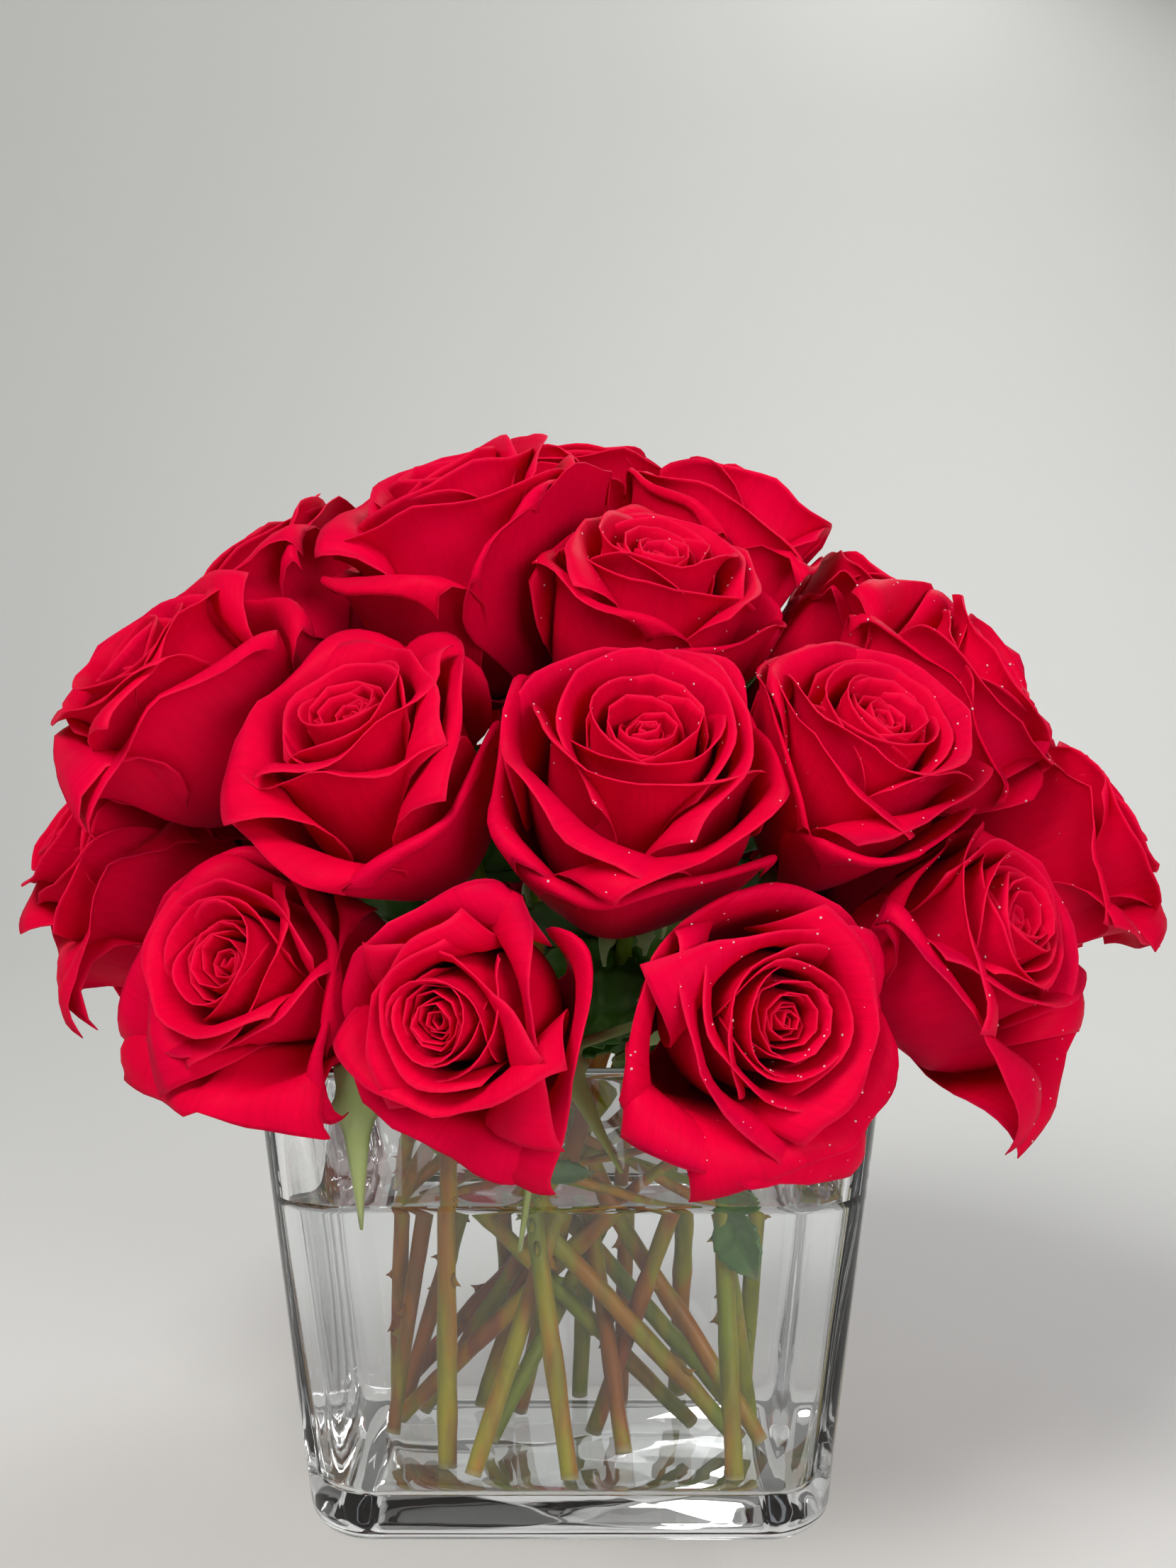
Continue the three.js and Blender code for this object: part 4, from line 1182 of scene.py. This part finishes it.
def sepal_material():
    n = Nodes(bpy.data.materials.new("rose_sepal"))
    up, tone = n.number("up"), n.number("tone")
    mottle = n.noise(120, 4, 0.6)
    base = n.ramp(up, SEPAL_LENGTHWISE)
    shaded = n.mix(n.times(tone, 0.5), base, SEPAL_SHADE)
    colour = n.mix(n.remap(mottle, 0.4, 0.7, 0, 0.5), shaded, SEPAL_MOTTLE)
    shader = n.new("BsdfPrincipled", {
        "Base Color": colour, "Roughness": n.remap(mottle, 0.3, 0.7, 0.5, 0.7),
        "Sheen Weight": 0.3, "Normal": n.bump(mottle, 0.4, 0.0005)})
    through = n.new("BsdfTranslucent", {"Color": colour})
    return n.finish(shader, through, 0.25)


def leaf_material():
    n = Nodes(bpy.data.materials.new("rose_leaf"))
    up, tone = n.number("up"), n.number("tone")
    veins = n.noise(150, 4, 0.6, 1.2)
    base = n.mix(n.times(tone, 0.6), LEAF_DARK, LEAF_LIGHT)
    colour = n.mix(n.remap(veins, 0.45, 0.7, 0, 0.45), base, LEAF_VEIN)
    tipped = n.mix(n.remap(up, 0.8, 1.0, 0, 0.4), colour, LEAF_BROWNED)
    shader = n.new("BsdfPrincipled", {
        "Base Color": tipped, "Roughness": n.remap(veins, 0.3, 0.7, 0.35, 0.55),
        "Normal": n.bump(veins, 0.5, 0.0006)})
    return n.finish(shader)


def clear_material(name, colour, shadow, ior, grain):
    """Glass or water that lets the lamps' light through to what stands in it"""
    n = Nodes(bpy.data.materials.new(name))
    ripples = n.noise(grain, 2, 0.5)
    shader = n.new("BsdfPrincipled", {
        "Base Color": colour, "Roughness": n.remap(ripples, 0.2, 0.9, 0.0, 0.012), "IOR": ior,
        "Transmission Weight": 1.0, "Normal": n.bump(ripples, 0.05, 0.0008)})
    clear = n.new("BsdfTransparent", {"Color": shadow})
    path = n.new("LightPath")
    through = n.sums("MAXIMUM", path.outputs["Is Shadow Ray"], path.outputs["Is Diffuse Ray"])
    return n.finish(shader, clear, through)


def dew_material():
    n = Nodes(bpy.data.materials.new("dew"))
    grain = n.noise(300, 2, 0.5)
    # The pink base colour paints in the petal seen through the drop; the water itself is clear
    shader = n.new("BsdfPrincipled", {
        "Base Color": DEW_PAINTED_PETAL_TINT, "Roughness": n.remap(grain, 0.3, 0.7, 0.02, 0.12),
        "IOR": WATER["ior"], "Specular IOR Level": 1.0, "Transmission Weight": 0.35})
    return n.finish(shader)


def backdrop_material():
    n = Nodes(bpy.data.materials.new("backdrop"))
    return n.finish(n.new("BsdfPrincipled", {"Base Color": BACKDROP, "Roughness": 0.7}))


# The studio, in metres

CAMERA_AT = (0.004, -0.532, 0.228)
CAMERA_TILT = 83
CAMERA_LENS = 52.1
STAGE_FRONT = -1.6
STAGE_BACK = 1.1
STAGE_ROUNDING = 0.5
STAGE_TOP = 1.8
STAGE_HALF = 2.4
SKY_BANDS = [(0.25, (0.22, 0.27, 0.35)), (0.6, (1.3, 1.36, 1.45))]
SKY_SEEN = (1.5, 1.52, 1.54, 1)
SKY_STRENGTH = 0.2

# Lamps: name, place, target, size, watts, colour
LAMPS = [
    ("key", (-0.5, -0.7, 1.1), (0, 0, 0.15), (0.6, 0.6), 14.3, (1, 0.98, 0.95)),
    ("fill", (0.6, -1.0, 0.4), (0, 0, 0.05), (0.6, 0.5), 7.5, (1, 1, 1)),
    ("back", (0.4, 0.8, 0.9), (0, 0, 0.15), (0.6, 0.6), 6, (1, 1, 1)),
]


def add_camera():
    camera = bpy.data.cameras.new("camera")
    camera.lens = CAMERA_LENS
    camera.sensor_width = 36
    camera.sensor_fit = "AUTO"
    camera.clip_start = 0.01
    placed = put_in_scene("camera", camera)
    placed.location = CAMERA_AT
    placed.rotation_euler = (math.radians(CAMERA_TILT), 0, 0)
    bpy.context.scene.camera = placed


def add_lamp(name, at, towards, size, power, colour):
    lamp = bpy.data.lights.new(name, "AREA")
    lamp.shape = "RECTANGLE"
    lamp.size, lamp.size_y = size
    lamp.energy = power
    lamp.color = colour
    placed = put_in_scene(name, lamp)
    placed.location = at
    away = np.array(at) - np.array(towards)
    level = math.hypot(away[0], away[1])
    placed.rotation_euler = (math.atan2(level, away[2]), 0, math.atan2(away[0], -away[1]))


def add_stage():
    """A pale floor that curves up into a pale wall"""
    radius, flat = STAGE_ROUNDING, STAGE_BACK - STAGE_ROUNDING
    line = [(STAGE_FRONT, 0.0), (flat, 0.0)]
    for angle in np.linspace(0, math.pi / 2, 13)[1:]:
        line.append((flat + radius * math.sin(angle), radius - radius * math.cos(angle)))
    line.append((STAGE_BACK, STAGE_TOP))
    points = [(x, y, z) for y, z in line for x in (-STAGE_HALF, STAGE_HALF)]
    faces = [(i, i + 1, i + 3, i + 2) for i in range(0, len(points) - 2, 2)]
    mesh = bpy.data.meshes.new("backdrop")
    mesh.from_pydata(points, [], faces)
    mesh.shade_smooth()
    mesh.materials.append(backdrop_material())
    placed = put_in_scene("backdrop", mesh)


def studio_world():
    """Pale bands for the glass to mirror, and a plain pale sky where the camera sees it"""
    n = Nodes(bpy.data.worlds.new("studio"), "OutputWorld")
    place = n.new("TexCoord").outputs["Generated"]
    bands = n.new("TexWave", {"Vector": place, "Scale": 0.9, "Distortion": 1.5}).outputs["Fac"]
    seen = n.mix(n.new("LightPath").outputs["Is Camera Ray"], n.ramp(bands, SKY_BANDS), SKY_SEEN)
    return n.finish(n.new("Background", {"Color": seen, "Strength": SKY_STRENGTH}))


def add_light():
    scene = bpy.context.scene
    scene.world = studio_world()
    for lamp in LAMPS:
        add_lamp(*lamp)
    scene.view_settings.view_transform = "Standard"
    scene.view_settings.look = "None"


add_camera()
add_stage()
add_light()

petals = petal_material()
stem_looks = [stem_material(), sepal_material(), leaf_material()]
ends = relaxed_ends()
dew = Pile()
for number, rose in enumerate(ROSES):
    bloom_piece(rose, number, petals, dew)
    stem_piece(rose, number, ends[number], stem_looks)
dew.piece("dew_drops", [dew_material()], None, "water")
ring_piece(vase_rings(), "glass_vase", clear_material("clear_glass", **GLASS), "vase", "glass")
ring_piece(water_rings(), "vase_water", clear_material("clear_water", **WATER), "water", "water")
